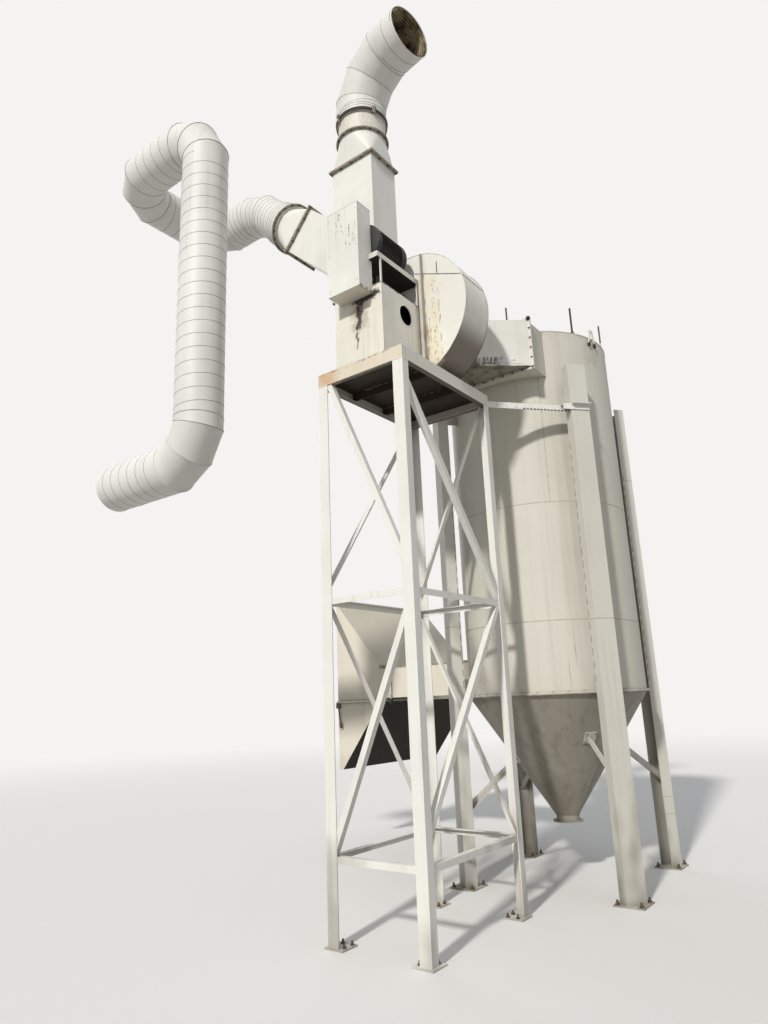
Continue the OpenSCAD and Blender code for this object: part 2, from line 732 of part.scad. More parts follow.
module vessel_shell() {
  color("white") place() difference() {
    union() {
      translate([ves_x, ves_y, ves_z]) cylinder(r = ves_r, h = ves_top - ves_z, $fn = 128);
      translate([ves_x, ves_y, ves_z]) cylinder(r = ves_r + 30, h = 10, $fn = 128);
    }
    translate([ves_x, ves_y, ves_z - 1]) cylinder(r = ves_r - ves_t, h = ves_top - ves_z + 2, $fn = 128);
    translate([inlet_x, ves_y - box_w + sheet, box_z + sheet]) cube([ves_x - inlet_x, 2 * box_w - 2 * sheet, box_h - 2 * sheet]);
    translate([hood_x + sheet, ves_y, link_z + sheet]) cube([link_w - 2 * sheet, ves_r + 100, link_h - 2 * sheet]);
  }
}

module vessel_roof() {
  color("white") place() translate([ves_x, ves_y, ves_top]) {
    difference() {
      cylinder(r1 = ves_r, r2 = 60, h = roof_h, $fn = 128);
      translate([0, 0, -1]) cylinder(r1 = ves_r - 20, r2 = 40, h = roof_h - 8, $fn = 128);
    }
    for (a = [15, 105, 195, 285]) rotate([0, 0, a]) translate([ves_r - 3 * rod_r, 0, 0]) cylinder(r = rod_r, h = rod_h, $fn = 24);
  }
}

module vessel_cone() {
  color("gray") place() translate([ves_x, ves_y, 0]) difference() {
    union() {
      translate([0, 0, out_z + 60]) cylinder(r1 = out_r, r2 = ves_r, h = ves_z - 10 - out_z - 60, $fn = 128);
      translate([0, 0, ves_z - 10]) cylinder(r = ves_r + 30, h = 10, $fn = 128);
    }
    translate([0, 0, out_z + 60 - 0.1]) cylinder(r1 = out_r - ves_t, r2 = ves_r - ves_t, h = ves_z - 10 - out_z - 60 + 0.2, $fn = 128);
    translate([0, 0, ves_z - 11]) cylinder(r = ves_r - ves_t, h = 12, $fn = 128);
  }
}

module dust_outlet() {
  color("gray") place() translate([ves_x, ves_y, out_z]) difference() {
    union() {
      cylinder(r = out_r, h = 60, $fn = 64);
      cylinder(r = out_r + 35, h = 12, $fn = 64);
    }
    translate([0, 0, -1]) cylinder(r = out_r - ves_t, h = 62, $fn = 64);
  }
}

// strut from the pad on the cone at height z down to the leg web, leg axis at the origin, cone towards -X
module cone_strut(z) {
  tilt = atan2(ves_r - out_r, ves_z - 10 - out_z - 60);
  cr = out_r + (z - out_z - 60) * tan(tilt);
  difference() {
    union() {
      translate([cr - leg_ring, 0, z]) rotate([0, strut_a, 0]) {
        translate([0, -brace_b / 2, -brace_b / 2]) cube([1200, brace_b, brace_t]);
        translate([0, -brace_b / 2, -brace_b / 2]) cube([1200, brace_t, brace_b]);
      }
      translate([cr - leg_ring, 0, z]) rotate([0, tilt, 0]) translate([0.3, -strut_pad / 2, -strut_pad / 2]) cube([8, strut_pad, strut_pad]);
    }
    translate([post_d / 2 - post_t, -500, z - 1500]) cube([1000, 1000, 1800]);
    translate([cr - leg_ring, 0, z]) rotate([0, tilt, 0]) translate([0.3 - 300, -300, -300]) cube([300, 600, 600]);
  }
}

// vessel leg at angle a, channel open towards the vessel, with base plate, brackets and cone strut at height z
module vessel_leg(a, z) {
  color("white") place() {
    translate([ves_x, ves_y, 0]) rotate([0, 0, a]) translate([leg_ring, 0, 0]) {
      translate([0, 0, foot_t]) difference() {
        translate([-post_d / 2, -post_b / 2, 0]) cube([post_d, post_b, post_h - foot_t]);
        translate([-post_d / 2 - 1, -post_b / 2 + post_t, -1]) cube([post_d - post_t + 1, post_b - 2 * post_t, post_h]);
      }
      for (h = [ves_z + 2 * lug_t, post_h - lug_drop - lug_h]) translate([ves_r - leg_ring, -lug_t / 2, h]) cube([leg_ring - ves_r + post_d / 2 - post_t, lug_t, lug_h]);
      cone_strut(z);
    }
    translate([ves_x + leg_ring * cos(a), ves_y + leg_ring * sin(a), 0]) difference() {
      translate([-pad_b / 2, -pad_b / 2, 0]) cube([pad_b, pad_b, foot_t]);
      for (x = [-1, 1]) for (y = [-1, 1]) translate([x * pad_p, y * pad_p, -e]) cylinder(d = pad_hole_d, h = foot_t + 2 * e, $fn = 32);
    }
  }
}

module vessel_leg_a() {
  vessel_leg(leg_turn + 180, strut_z[0]);
}

module vessel_leg_b() {
  vessel_leg(leg_turn + 270, strut_z[1]);
}

module vessel_leg_c() {
  vessel_leg(leg_turn, strut_z[2]);
}

module vessel_leg_d() {
  vessel_leg(leg_turn + 90, strut_z[3]);
}

module intake_link() {
  color("white") place() difference() {
    translate([hood_x, ves_y, link_z]) cube([link_w, hood_y - ves_y, link_h]);
    translate([hood_x + sheet, ves_y - 1, link_z + sheet]) cube([link_w - 2 * sheet, hood_y - ves_y + 2, link_h - 2 * sheet]);
    translate([ves_x, ves_y, ves_z]) cylinder(r = ves_r, h = link_h + 200, $fn = 128);
  }
}

// side outline of the hood, o is the inset
module hood_side(o) {
  polygon([[hood_y + o, ves_z - o * 2], [wall_y - o, ves_z - o * 2], [wall_y - o, hood_top - o * 2.4], [hood_y + o, hood_z - o * 1.2]]);
}

module intake_hood() {
  color("white") place() difference() {
    union() {
      translate([hood_x, 0, 0]) rotate([90, 0, 90]) linear_extrude(hood_l) hood_side(0);
      translate([hood_x - flange_b, hood_y - flange_b, ves_z]) cube([hood_l + flange_b, wall_y - hood_y + flange_b, flange_t]);
    }
    translate([hood_x + sheet, 0, 0]) rotate([90, 0, 90]) linear_extrude(hood_l - 2 * sheet) hood_side(sheet);
    translate([hood_x + sheet, hood_y - 50, link_z + sheet]) cube([link_w - 2 * sheet, 100, link_h - 2 * sheet]);
  }
}

module intake_hopper() {
  color("gray") place() difference() {
    union() {
      translate([hood_x, 0, 0]) rotate([90, 0, 90]) linear_extrude(hood_l) polygon([[hood_y, ves_z - flange_t], [wall_y - hop_d, hop_z], [wall_y, hop_z], [wall_y, ves_z - flange_t]]);
      translate([hood_x - flange_b, hood_y - flange_b, ves_z - flange_t]) cube([hood_l + flange_b, wall_y - hood_y + flange_b, flange_t]);
    }
    translate([hood_x + sheet, 0, 0]) rotate([90, 0, 90]) linear_extrude(hood_l - 2 * sheet) polygon([[hood_y + sheet, ves_z + 1], [hood_y + sheet, ves_z - flange_t], [wall_y - hop_d + sheet, hop_z - 1], [wall_y - sheet, hop_z - 1], [wall_y - sheet, ves_z + 1]]);
  }
}

leg_front();
leg_right();
leg_left();
leg_back();
platform_frame();
platform_deck();
tower_rings();
braces_left();
braces_front();
braces_right();
braces_back();
platform_strut();
fan_pedestal();
motor_table();
motor();
fan_shaft();
belt_guard();
fan_casing();
fan_inlet_box();
discharge_duct();
branch_duct();
stack_transition();
stack_collar();
stack_elbow();
branch_transition();
return_riser();
return_cross();
return_front();
return_turn();
return_drop();
return_wall();
vessel_shell();
vessel_roof();
vessel_cone();
dust_outlet();
vessel_leg_a();
vessel_leg_b();
vessel_leg_c();
vessel_leg_d();
vessel_box();
intake_link();
intake_hood();
intake_hopper();
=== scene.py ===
"""Looks of the cyclone separator plant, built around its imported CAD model. Metres, +Z up."""

import math

import bpy
from mathutils import Matrix, Vector


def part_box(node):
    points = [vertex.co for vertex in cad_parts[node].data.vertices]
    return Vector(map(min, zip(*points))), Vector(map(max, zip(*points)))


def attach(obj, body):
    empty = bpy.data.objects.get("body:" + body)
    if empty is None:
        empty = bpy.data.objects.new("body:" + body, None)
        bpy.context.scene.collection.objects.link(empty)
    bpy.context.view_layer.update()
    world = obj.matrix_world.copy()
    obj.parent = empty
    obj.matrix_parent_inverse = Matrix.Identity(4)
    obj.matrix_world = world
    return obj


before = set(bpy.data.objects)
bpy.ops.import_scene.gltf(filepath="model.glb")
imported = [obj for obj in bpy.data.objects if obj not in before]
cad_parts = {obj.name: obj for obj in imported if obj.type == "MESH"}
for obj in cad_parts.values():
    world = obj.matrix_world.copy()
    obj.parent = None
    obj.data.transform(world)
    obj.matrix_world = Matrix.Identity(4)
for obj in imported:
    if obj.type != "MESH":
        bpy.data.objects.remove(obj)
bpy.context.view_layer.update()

# ---------------------------------------------------------------- sizes, in metres
FLANGE_OUT = 0.030
FLANGE_THICK = 0.010
FOOT_OUT = 0.020
LOCK_SEAM_PITCH = 0.132
LOCK_SEAM = (0.007, 0.0016)  # width and height
WELD = (0.011, 0.003)

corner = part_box("leg_front")[0] + Vector((FOOT_OUT, FOOT_OUT, 0))


def tower_point(x, y, z):
    """A point given from the tower's front corner, as the part's source gives it."""
    return corner + Vector((x, y, z))


duct_low, duct_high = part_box("discharge_duct")
DUCT_X0, DUCT_X1 = duct_low.x + FLANGE_OUT, duct_high.x - FLANGE_OUT
DUCT_Y0 = duct_low.y + FLANGE_OUT
DUCT_Y1 = duct_high.y - FLANGE_OUT
DUCT_FOOT, DUCT_TOP = duct_low.z, duct_high.z
DUCT_X = (DUCT_X0 + DUCT_X1) / 2
DUCT_Y = (DUCT_Y0 + DUCT_Y1) / 2

DECK_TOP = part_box("platform_deck")[1].z
TOWER_W = 1.390
TOWER_D = 0.900
LEG_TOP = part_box("platform_frame")[0].z
RING_TOPS = (2.520, 0.617)

shell_low, shell_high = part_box("vessel_shell")
VESSEL_R = (shell_high.x - shell_low.x) / 2 - FLANGE_OUT
VESSEL_X = (shell_high.x + shell_low.x) / 2
VESSEL_Y = (shell_high.y + shell_low.y) / 2
SHELL_FOOT, SHELL_TOP = shell_low.z, shell_high.z
LEG_RING = 1.066
LEG_ANGLES = (230, 320, 50, 140)
LUG_ANGLE = -103

drop_low, drop_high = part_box("return_drop")
RETURN_R = (drop_high.x - drop_low.x) / 2
DROP_X = (drop_high.x + drop_low.x) / 2
DROP_Y = (drop_high.y + drop_low.y) / 2
MITRE = 30
RETURN_GORE = 0.241
RISER_GORE = 0.250
RETURN_COLLAR = 0.075
BRANCH_SLOPE = 42
BRANCH_UP = 0.631
BRANCH_LONG = 0.680
BRANCH_HIGH = 0.500
BRANCH_ROUND = 0.364
BRANCH_Z = DUCT_FOOT + BRANCH_UP

STACK_R = 0.268
STACK_GORE = 0.300
STACK_FIRST = 0.231
STACK_LAST = 0.358
STACK_TURN = 9
COLLAR_R = 0.251

# ---------------------------------------------------------------- places
shift = Matrix.Translation
vessel_axis = shift((VESSEL_X, VESSEL_Y, 0))


def turned(x=0.0, y=0.0, z=0.0):
    """A rotation given as the part's source gives it, in degrees about X, then Y, then Z."""
    rx, ry, rz = (Matrix.Rotation(math.radians(a), 4, k) for a, k in ((x, "X"), (y, "Y"), (z, "Z")))
    return rz @ ry @ rx


def round_z(a, radius=1.0, z=0.0):
    """A point at an angle in radians and a radius about Z."""
    return Vector((radius * math.cos(a), radius * math.sin(a), z))


def on_vessel(radius, angle, z):
    """A point at a radius and an angle in degrees about the vessel's axis."""
    return vessel_axis @ round_z(math.radians(angle), radius, z)


# ---------------------------------------------------------------- mesh helpers
def make_piece(name, vertices, faces, material, slot=None, smooth=35):
    """A mesh object riding on the plant, with edges sharper than the angle kept sharp."""
    mesh = bpy.data.meshes.new(name)
    mesh.from_pydata([tuple(v) for v in vertices], [], faces)
    mesh.validate()
    mesh.update()
    mesh.shade_smooth()
    mesh.set_sharp_from_angle(angle=math.radians(smooth))
    mesh.materials.append(material)
    piece = bpy.data.objects.new(name, mesh)
    bpy.context.scene.collection.objects.link(piece)
    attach(piece, "root")
    return piece


def towards(direction):
    """A rotation that turns +Z to a direction."""
    return Vector(direction).to_track_quat("Z", "Y").to_matrix().to_4x4()


def placed(vertices, faces, matrix, out):
    """Adds a copy of some vertices and faces, placed by a matrix, to the lists in out."""
    start = len(out[0])
    out[0].extend(matrix @ Vector(v) for v in vertices)
    out[1].extend(tuple(start + i for i in f) for f in faces)


def lathe(profile, sides=24, closed=False):
    """Vertices and faces of a profile of (radius, height) turned about Z. Ends are capped."""
    vertices = [round_z(2 * math.pi * k / sides, r, z) for r, z in profile for k in range(sides)]
    faces = []
    rings = len(profile)
    last = rings if closed else rings - 1
    for i in range(last):
        for k in range(sides):
            a, b = i * sides + k, i * sides + (k + 1) % sides
            c, d = ((i + 1) % rings) * sides + (k + 1) % sides, ((i + 1) % rings) * sides + k
            faces.append((a, b, c, d))
    if not closed:
        faces.append(tuple(range(sides))[::-1])
        faces.append(tuple((rings - 1) * sides + k for k in range(sides)))
    return vertices, faces


def chamfered_block(size, bevel):
    """Vertices and faces of a block centred on the origin, its edges cut by a bevel."""
    sx, sy, sz = (s / 2 for s in size)
    rings = [
        (sx - bevel, sy - bevel, -sz),
        (sx, sy, -sz + bevel),
        (sx, sy, sz - bevel),
        (sx - bevel, sy - bevel, sz),
    ]
    vertices, faces = [], []
    for x, y, z in rings:
        b = bevel
        outline = [(x, -y + b), (x, y - b), (x - b, y), (-x + b, y)]
        outline += [(-p, -q) for p, q in outline]
        vertices += [(p, q, z) for p, q in outline]
    for i in range(3):
        for k in range(8):
            faces.append((i * 8 + k, i * 8 + (k + 1) % 8, i * 8 + 8 + (k + 1) % 8, i * 8 + 8 + k))
    faces.append(tuple(range(8))[::-1])
    faces.append(tuple(24 + k for k in range(8)))
    return vertices, faces


def lathed(profile, sides, matrix, out, closed=False):
    """Adds a turned part, placed by a matrix, to the lists in out."""
    placed(*lathe(profile, sides, closed), matrix, out)


def block(size, bevel, matrix, out):
    """Adds a chamfered block, placed by a matrix, to the lists in out."""
    placed(*chamfered_block(size, bevel), matrix, out)


def hex_bolt(size):
    """A hexagon head on its washer. size is the thread in metres, and it sits on z = 0."""
    washer = [(size * 1.05, 0), (size * 1.05, size * 0.15), (size * 0.6, size * 0.17)]
    head = [(size * 0.92, size * 0.15), (size * 0.92, size * 0.7), (size * 0.76, size * 0.8)]
    out = [[], []]
    lathed(washer, 14, turned(), out)
    lathed(head, 6, turned(), out)
    return out


def bolt_set(name, size, places, material, slot, stud=0.0):
    """One mesh of bolt heads. places is a list of (point, outward direction)."""
    head = hex_bolt(size)
    shank = lathe([(size * 0.5, 0), (size * 0.5, stud - size * 0.1), (size * 0.4, stud)], 10)
    out = [[], []]
    for i, (point, direction) in enumerate(places):
        turn = Matrix.Rotation(0.37 * i, 4, "Z")
        matrix = shift(point) @ towards(direction) @ turn
        placed(*head, matrix, out)
        if stud:
            placed(*shank, matrix, out)
    return make_piece(name, *out, material, slot)


def bead(points, normals, wide, high, out, closed=False, ripple=0.0):
    """A low ridge lying on a surface along a line of points, with the surface's normals."""
    start = len(out[0])
    count = len(points)
    for i, (p, n) in enumerate(zip(points, normals)):
        ahead = points[(i + 1) % count] if closed else points[min(i + 1, count - 1)]
        behind = points[i - 1] if closed or i else points[0]
        side = (ahead - behind).cross(n).normalized()
        h = high * (1 + ripple * math.sin(i * 2.1))
        w = wide * (1 + 0.5 * ripple * math.sin(i * 3.7))
        sunk = n * 0.002
        foot, crest = side * w / 2, side * w * 0.22
        out[0] += [p - foot - sunk, p - crest + n * h, p + crest + n * h, p + foot - sunk]
    for i in range(count if closed else count - 1):
        a, b = start + 4 * i, start + 4 * ((i + 1) % count)
        for k in range(3):
            out[1].append((a + k, a + k + 1, b + k + 1, b + k))
    if not closed:
        out[1].append((start + 3, start + 2, start + 1, start))
        a = start + 4 * (count - 1)
        out[1].append((a, a + 1, a + 2, a + 3))


def ring_bead(matrix, radius, z, wide, high, out, ripple=0.0, steps=72):
    """A bead round a cylinder about the matrix's Z, at height z along it."""
    angles = [2 * math.pi * k / steps for k in range(steps)]
    points = [matrix @ round_z(a, radius, z) for a in angles]
    bead(points, [matrix.to_3x3() @ round_z(a) for a in angles], wide, high, out, True, ripple)


def lock_seam(matrix, radius, z0, z1, out, phase=0.0, pitch=LOCK_SEAM_PITCH):
    """The helical lock seam of spiral duct between two heights along the matrix's Z."""
    turns = (z1 - z0) / pitch
    steps = max(4, int(turns * 40))
    points, normals = [], []
    for k in range(steps + 1):
        t = k / steps
        a = phase + 2 * math.pi * turns * t
        points.append(matrix @ round_z(a, radius, z0 + (z1 - z0) * t))
        normals.append(matrix.to_3x3() @ round_z(a))
    bead(points, normals, *LOCK_SEAM, out)


def line_bead(p0, p1, normal, wide, high, out, steps=40, ripple=0.25):
    """A straight bead between two points of a flat surface."""
    points = [p0.lerp(p1, k / steps) for k in range(steps + 1)]
    bead(points, [Vector(normal).normalized()] * len(points), wide, high, out, False, ripple)


# ---------------------------------------------------------------- materials
def linear(hex_colour):
    """An sRGB hex colour as linear RGBA."""
    parts = [int(hex_colour[k : k + 2], 16) / 255 for k in (1, 3, 5)]
    return (*(c / 12.92 if c <= 0.04045 else ((c + 0.055) / 1.055) ** 2.4 for c in parts), 1.0)


def add(tree, kind, *inputs, out=0, **settings):
    """Adds a node, makes its settings, fills its live inputs in order, and gives one output."""
    made = tree.nodes.new("ShaderNode" + kind)
    for key, value in settings.items():
        setattr(made, key, value)
    for socket, value in zip([s for s in made.inputs if s.enabled], inputs):
        if isinstance(value, bpy.types.NodeSocket):
            tree.links.new(value, socket)
        elif value is not None:
            socket.default_value = value
    return [s for s in made.outputs if s.enabled][out]


OBJECT_COORDS = 3  # the TexCoord output that gives metres in the plant's frame


def new_finish(name):
    """An empty finish: its material, node tree, shader and the place on the plant in metres."""
    material = bpy.data.materials.new(name)
    material.use_nodes = True
    tree = material.node_tree
    return material, tree, tree.nodes["Principled BSDF"], add(tree, "TexCoord", out=OBJECT_COORDS)


def patches(tree, where, across, tall, low, high, most=1.0, detail=4):
    """A cover of irregular patches, across and tall in metres, none below low and most above high."""
    spread = add(tree, "Mapping", where, None, None, (1 / across, 1 / across, 1 / tall))
    cloud = add(tree, "TexNoise", spread, 1.0, detail, 0.6)
    return add(tree, "MapRange", cloud, low, high, 0.0, most, interpolation_type="SMOOTHSTEP")


def round_a_place(tree, where, wander, centre, half, fade):
    """A cover of 1 round a place, easing to 0 over the fade beyond its half sizes, with wandering edges."""
    strayed = add(tree, "VectorMath", wander, (4 * min(fade, 0.04),) * 3, where, operation="MULTIPLY_ADD")
    away = add(tree, "VectorMath", strayed, tuple(centre), operation="SUBTRACT")
    away = add(tree, "VectorMath", away, operation="ABSOLUTE")
    past = tuple(h + fade for h in half)
    ease = {"data_type": "FLOAT_VECTOR", "interpolation_type": "SMOOTHSTEP"}
    eased = add(tree, "MapRange", away, tuple(half), past, (1, 1, 1), (0, 0, 0), **ease)
    sides = add(tree, "SeparateXYZ", eased).node.outputs
    flat = add(tree, "Math", sides[0], sides[1], operation="MULTIPLY")
    return add(tree, "Math", flat, sides[2], operation="MULTIPLY")


def weathered_paint(name, paint, grime="#8F897C", streaks=0.3, blotches=0.2, flecks=0.15, painted_corner_shade=0.5,
                    splash=0.5, roughness=0.5, gloss=0.5, shade_beneath=None, marks=()):
    """Brushed or sprayed alkyd enamel on steel plate that has stood outdoors for years.

    The eye sees rain streaks about 40 mm apart running down, painted shade in the corners, a dull
    chalky sheen, rust flecks of about 15 mm where the film is broken, and splashes near the ground.
    gloss is low where a coat of dust lies on the film.
    The (colour, cover) for faces that look down paints shade on them, with some soot. marks are the
    stains, and in places painted shade, of one place each: colour, cover, centre, half size, fade, and the
    patches that break them up.
    """
    material, tree, shader, where = new_finish(name)
    height = add(tree, "SeparateXYZ", where, out=2)
    layers = [(patches(tree, where, 0.9, 0.9, 0.35, 0.7, blotches, 3), grime)]
    lines = patches(tree, where, 0.042, 1.1, 0.47, 0.72, streaks, 5)
    where_wet = patches(tree, where, 0.45, 0.9, 0.35, 0.65, 1.0, 2)
    layers.append((add(tree, "Math", lines, where_wet, operation="MULTIPLY"), grime))
    pits = patches(tree, where, 0.016, 0.02, 0.61, 0.67, flecks, 6)
    broken = patches(tree, where, 0.33, 0.33, 0.5, 0.64, 1.0, 3)
    layers.append((add(tree, "Math", pits, broken, operation="MULTIPLY"), "#8E5E38"))
    # painted shade: darker where ambient occlusion finds corners and recesses
    if painted_corner_shade:
        open_sky = add(tree, "AmbientOcclusion", None, 0.10, samples=6, out=1)
        layers.append((add(tree, "MapRange", open_sky, 0.85, 0.30, 0.0, painted_corner_shade), "#746B5E"))
    if splash:
        edge = add(tree, "Math", height, where_wet, operation="SUBTRACT")
        muddy = add(tree, "MapRange", edge, 0.35, -0.75, 0.0, splash, interpolation_type="SMOOTHSTEP")
        layers.append((muddy, "#6E6555"))
    # painted shade, with some soot: faces that look down are darkened in patches
    if shade_beneath:
        slope = add(tree, "SeparateXYZ", add(tree, "NewGeometry", out=1), out=2)
        down = add(tree, "MapRange", slope, -0.25, -0.6, 0.0, shade_beneath[1], interpolation_type="SMOOTHSTEP")
        sooty = patches(tree, where, 0.22, 0.22, 0.0, 0.32, 1.0, 4)
        layers.append((add(tree, "Math", down, sooty, operation="MULTIPLY"), shade_beneath[0]))
    if marks:
        cloud = add(tree, "TexNoise", where, 16.0, 4.0, out=1)
        wander = add(tree, "VectorMath", cloud, (0.5, 0.5, 0.5), operation="SUBTRACT")
    for hue, cover, centre, half, fade, broken_up in marks:
        place = round_a_place(tree, where, wander, centre, half, fade)
        shape = patches(tree, where, *broken_up, cover)
        layers.append((add(tree, "Math", place, shape, operation="MULTIPLY"), hue))
    base = linear(paint)
    for cover, hue in layers:
        base = add(tree, "Mix", cover, base, linear(hue), data_type="RGBA")
    tree.links.new(base, shader.inputs["Base Color"])
    film = add(tree, "TexNoise", where, 70.0, 3.0)
    dull = add(tree, "MapRange", film, 0.0, 1.0, roughness - 0.12, roughness + 0.15)
    tree.links.new(dull, shader.inputs["Roughness"])
    shader.inputs["IOR"].default_value = 1.48
    shader.inputs["Specular IOR Level"].default_value = gloss
    orange_peel = add(tree, "Bump", 0.12, 0.001, None, film)
    dents = add(tree, "TexNoise", where, 3.5, 2.0)
    waves = add(tree, "Bump", 0.25, 0.006, None, dents, orange_peel)
    tree.links.new(waves, shader.inputs["Normal"])
    return material


def small_part_finish(name, colour, roughness, metallic=0.0, dirt="#3B342C", cover=0.4, patch=0.016, bump=0.2):
    """Small cast, rolled, turned or moulded parts under an uneven film of dirt or rust; on the mouth's liner
    that dark film is mostly painted shade.
    """
    material, tree, shader, where = new_finish(name)
    spots = patches(tree, where, patch, patch, 0.4, 0.65, cover, 5)
    base = add(tree, "Mix", spots, linear(colour), linear(dirt), data_type="RGBA")
    tree.links.new(base, shader.inputs["Base Color"])
    dull = add(tree, "MapRange", spots, 0.0, 1.0, roughness, min(roughness + 0.35, 0.95))
    tree.links.new(dull, shader.inputs["Roughness"])
    shader.inputs["Metallic"].default_value = metallic
    rough = add(tree, "Bump", bump, 0.001, None, spots)
    tree.links.new(rough, shader.inputs["Normal"])
    return material


RUNS = (0.020, 0.16, 0.42, 0.60)  # thin drips, 20 mm across and 160 mm tall
SPECKS = (0.014, 0.035, 0.56, 0.62)  # rust specks of about 15 mm
BLOTS = (0.07, 0.09, 0.28, 0.48)  # wandering edges of a spill
ALL_OVER = (0.30, 0.30, 0.10, 0.35)  # an uneven tint

PED_X, CASING_X, GUARD_X = 0.061, 0.637, -0.119  # the faces that look along -X
GREASE_AND_SHADE, RUST, CREAM, SOOT = "#16130F", "#8A5A30", "#E8DCB9", "#3A322A"

pedestal_marks = [
    (CREAM, 0.18, tower_point(PED_X, 0.48, 4.85), (0.01, 0.26, 0.35), 0.03, ALL_OVER),
    ("#A08E70", 0.50, tower_point(PED_X, 0.47, 4.95), (0.01, 0.05, 0.12), 0.07, BLOTS),
    # painted shadow with grease: black under the foot of the belt guard
    (GREASE_AND_SHADE, 0.97, tower_point(PED_X, 0.40, 5.085), (0.01, 0.13, 0.022), 0.035, (0.06, 0.05, 0.20, 0.36)),
    (GREASE_AND_SHADE, 0.95, tower_point(PED_X, 0.470, 4.995), (0.01, 0.026, 0.050), 0.035, (0.035, 0.08, 0.36, 0.46)),
    (GREASE_AND_SHADE, 0.93, tower_point(PED_X, 0.480, 4.880), (0.01, 0.010, 0.055), 0.028, (0.03, 0.08, 0.38, 0.48)),
    (GREASE_AND_SHADE, 0.85, tower_point(PED_X, 0.492, 4.730), (0.01, 0.002, 0.100), 0.020, (0.02, 0.07, 0.42, 0.52)),
    (RUST, 0.55, tower_point(0.622, 0.215, 4.80), (0.012, 0.02, 0.34), 0.035, RUNS),
    (CREAM, 0.5, tower_point(0.600, 0.215, 4.80), (0.02, 0.02, 0.34), 0.04, RUNS),
    # painted shade with grease: the pedestal's top, under the motor table, made black
    (GREASE_AND_SHADE, 0.8, tower_point(0.34, 0.42, 5.172), (0.30, 0.28, 0.004), 0.018, BLOTS),
    # painted shade: the inside of the pedestal, seen through its round hole, made black
    (GREASE_AND_SHADE, 0.97, tower_point(0.341, 0.479, 4.80), (0.2765, 0.2565, 0.3665), 0.0008, (0.3, 0.3, 0.0, 0.1)),
]
casing_marks = [
    (CREAM, 0.60, tower_point(CASING_X, 0.085, 4.95), (0.01, 0.045, 0.45), 0.06, (0.10, 0.4, 0.25, 0.5)),
    (RUST, 0.9, tower_point(CASING_X, 0.066, 4.95), (0.01, 0.012, 0.45), 0.014, SPECKS),
    (RUST, 0.6, tower_point(CASING_X, 0.135, 4.75), (0.01, 0.012, 0.27), 0.02, RUNS),
    ("#9F9585", 0.85, tower_point(0.612, 0.164, 5.1), (0.022, 0.010, 0.62), 0.004, ALL_OVER),
    (RUST, 0.55, tower_point(0.612, 0.164, 4.7), (0.022, 0.010, 0.22), 0.05, RUNS),
    (SOOT, 0.85, tower_point(CASING_X, 0.012, 5.500), (0.01, 0.0035, 0.055), 0.004, ALL_OVER),
    ("#5A4632", 0.75, tower_point(CASING_X, 0.010, 4.93), (0.01, 0.0020, 0.38), 0.006,
        (0.012, 0.07, 0.50, 0.56)),
    (SOOT, 0.60, tower_point(0.84, 0.20, 4.47), (0.25, 0.70, 0.02), 0.14, (0.30, 0.30, 0.20, 0.60)),
]
inlet_low, inlet_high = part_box("fan_inlet_box")
inlet_mid = (inlet_low + inlet_high) / 2
inlet_edge = Vector((inlet_mid.x, inlet_mid.y, inlet_low.z + FLANGE_OUT))
inlet_marks = [
    ("#33291F", 0.85, Vector((inlet_mid.x - 0.04, inlet_low.y + 0.24, inlet_edge.z + 0.048)),
        (0.20, 0.27, 0.026), 0.030, (0.013, 0.12, 0.44, 0.56)),
    ("#40342A", 0.60, inlet_edge + Vector((0, 0, 0.01)), (0.5, 0.6, 0.01), 0.040, (0.14, 0.018, 0.46, 0.62)),
    ("#251C14", 0.45, inlet_edge - Vector((0, 0, 0.006)), (0.5, 0.6, 0.004), 0.010, (0.30, 0.30, 0.20, 0.70)),
]
channel_marks = [
    ("#DCCBA8", 0.50, tower_point(0, 0.45, 4.42), (0.012, 0.46, 0.07), 0.01, (0.05, 0.12, 0.25, 0.55)),
    ("#C79A66", 0.60, tower_point(0, 0.84, 4.41), (0.012, 0.06, 0.07), 0.16, (0.10, 0.12, 0.25, 0.55)),
    ("#8B6A45", 0.7, tower_point(0, 0.50, 4.475), (0.012, 0.38, 0.006), 0.014, (0.05, 0.03, 0.45, 0.60)),
    # painted shade: the inner beams under the deck made almost black
    ("#332A22", 0.95, tower_point(0.695, 0.45, 4.40), (0.625, 0.385, 0.08), 0.012, (0.20, 0.2, 0.00, 0.28)),
]
# painted shade: the whole underside of the deck made almost black
deck_shade_marks = [("#332A22", 0.95, tower_point(0.695, 0.45, 4.395), (0.70, 0.45, 0.05), 0.012,
    (0.2, 0.2, 0.0, 0.28))]
guard_marks = [
    ("#6B4A30", 0.9, tower_point(GUARD_X, 0.505, 5.79), (0.01, 0.05, 0.13), 0.03, (0.013, 0.05, 0.58, 0.64)),
    ("#6B4A30", 0.9, tower_point(GUARD_X, 0.405, 5.62), (0.01, 0.05, 0.09), 0.03, (0.013, 0.05, 0.58, 0.64)),
    (SOOT, 0.6, tower_point(GUARD_X + 0.1, 0.315, 5.095), (0.09, 0.01, 0.01), 0.015, RUNS),
]
collar_marks = [("#AC7A48", 0.65, (DUCT_X, DUCT_Y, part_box("stack_collar")[0].z + 0.13), (0.4, 0.4, 0.10), 0.03,
    (0.012, 0.014, 0.56, 0.63))]
lug_foot = on_vessel(VESSEL_R, LUG_ANGLE, SHELL_TOP - 0.2)
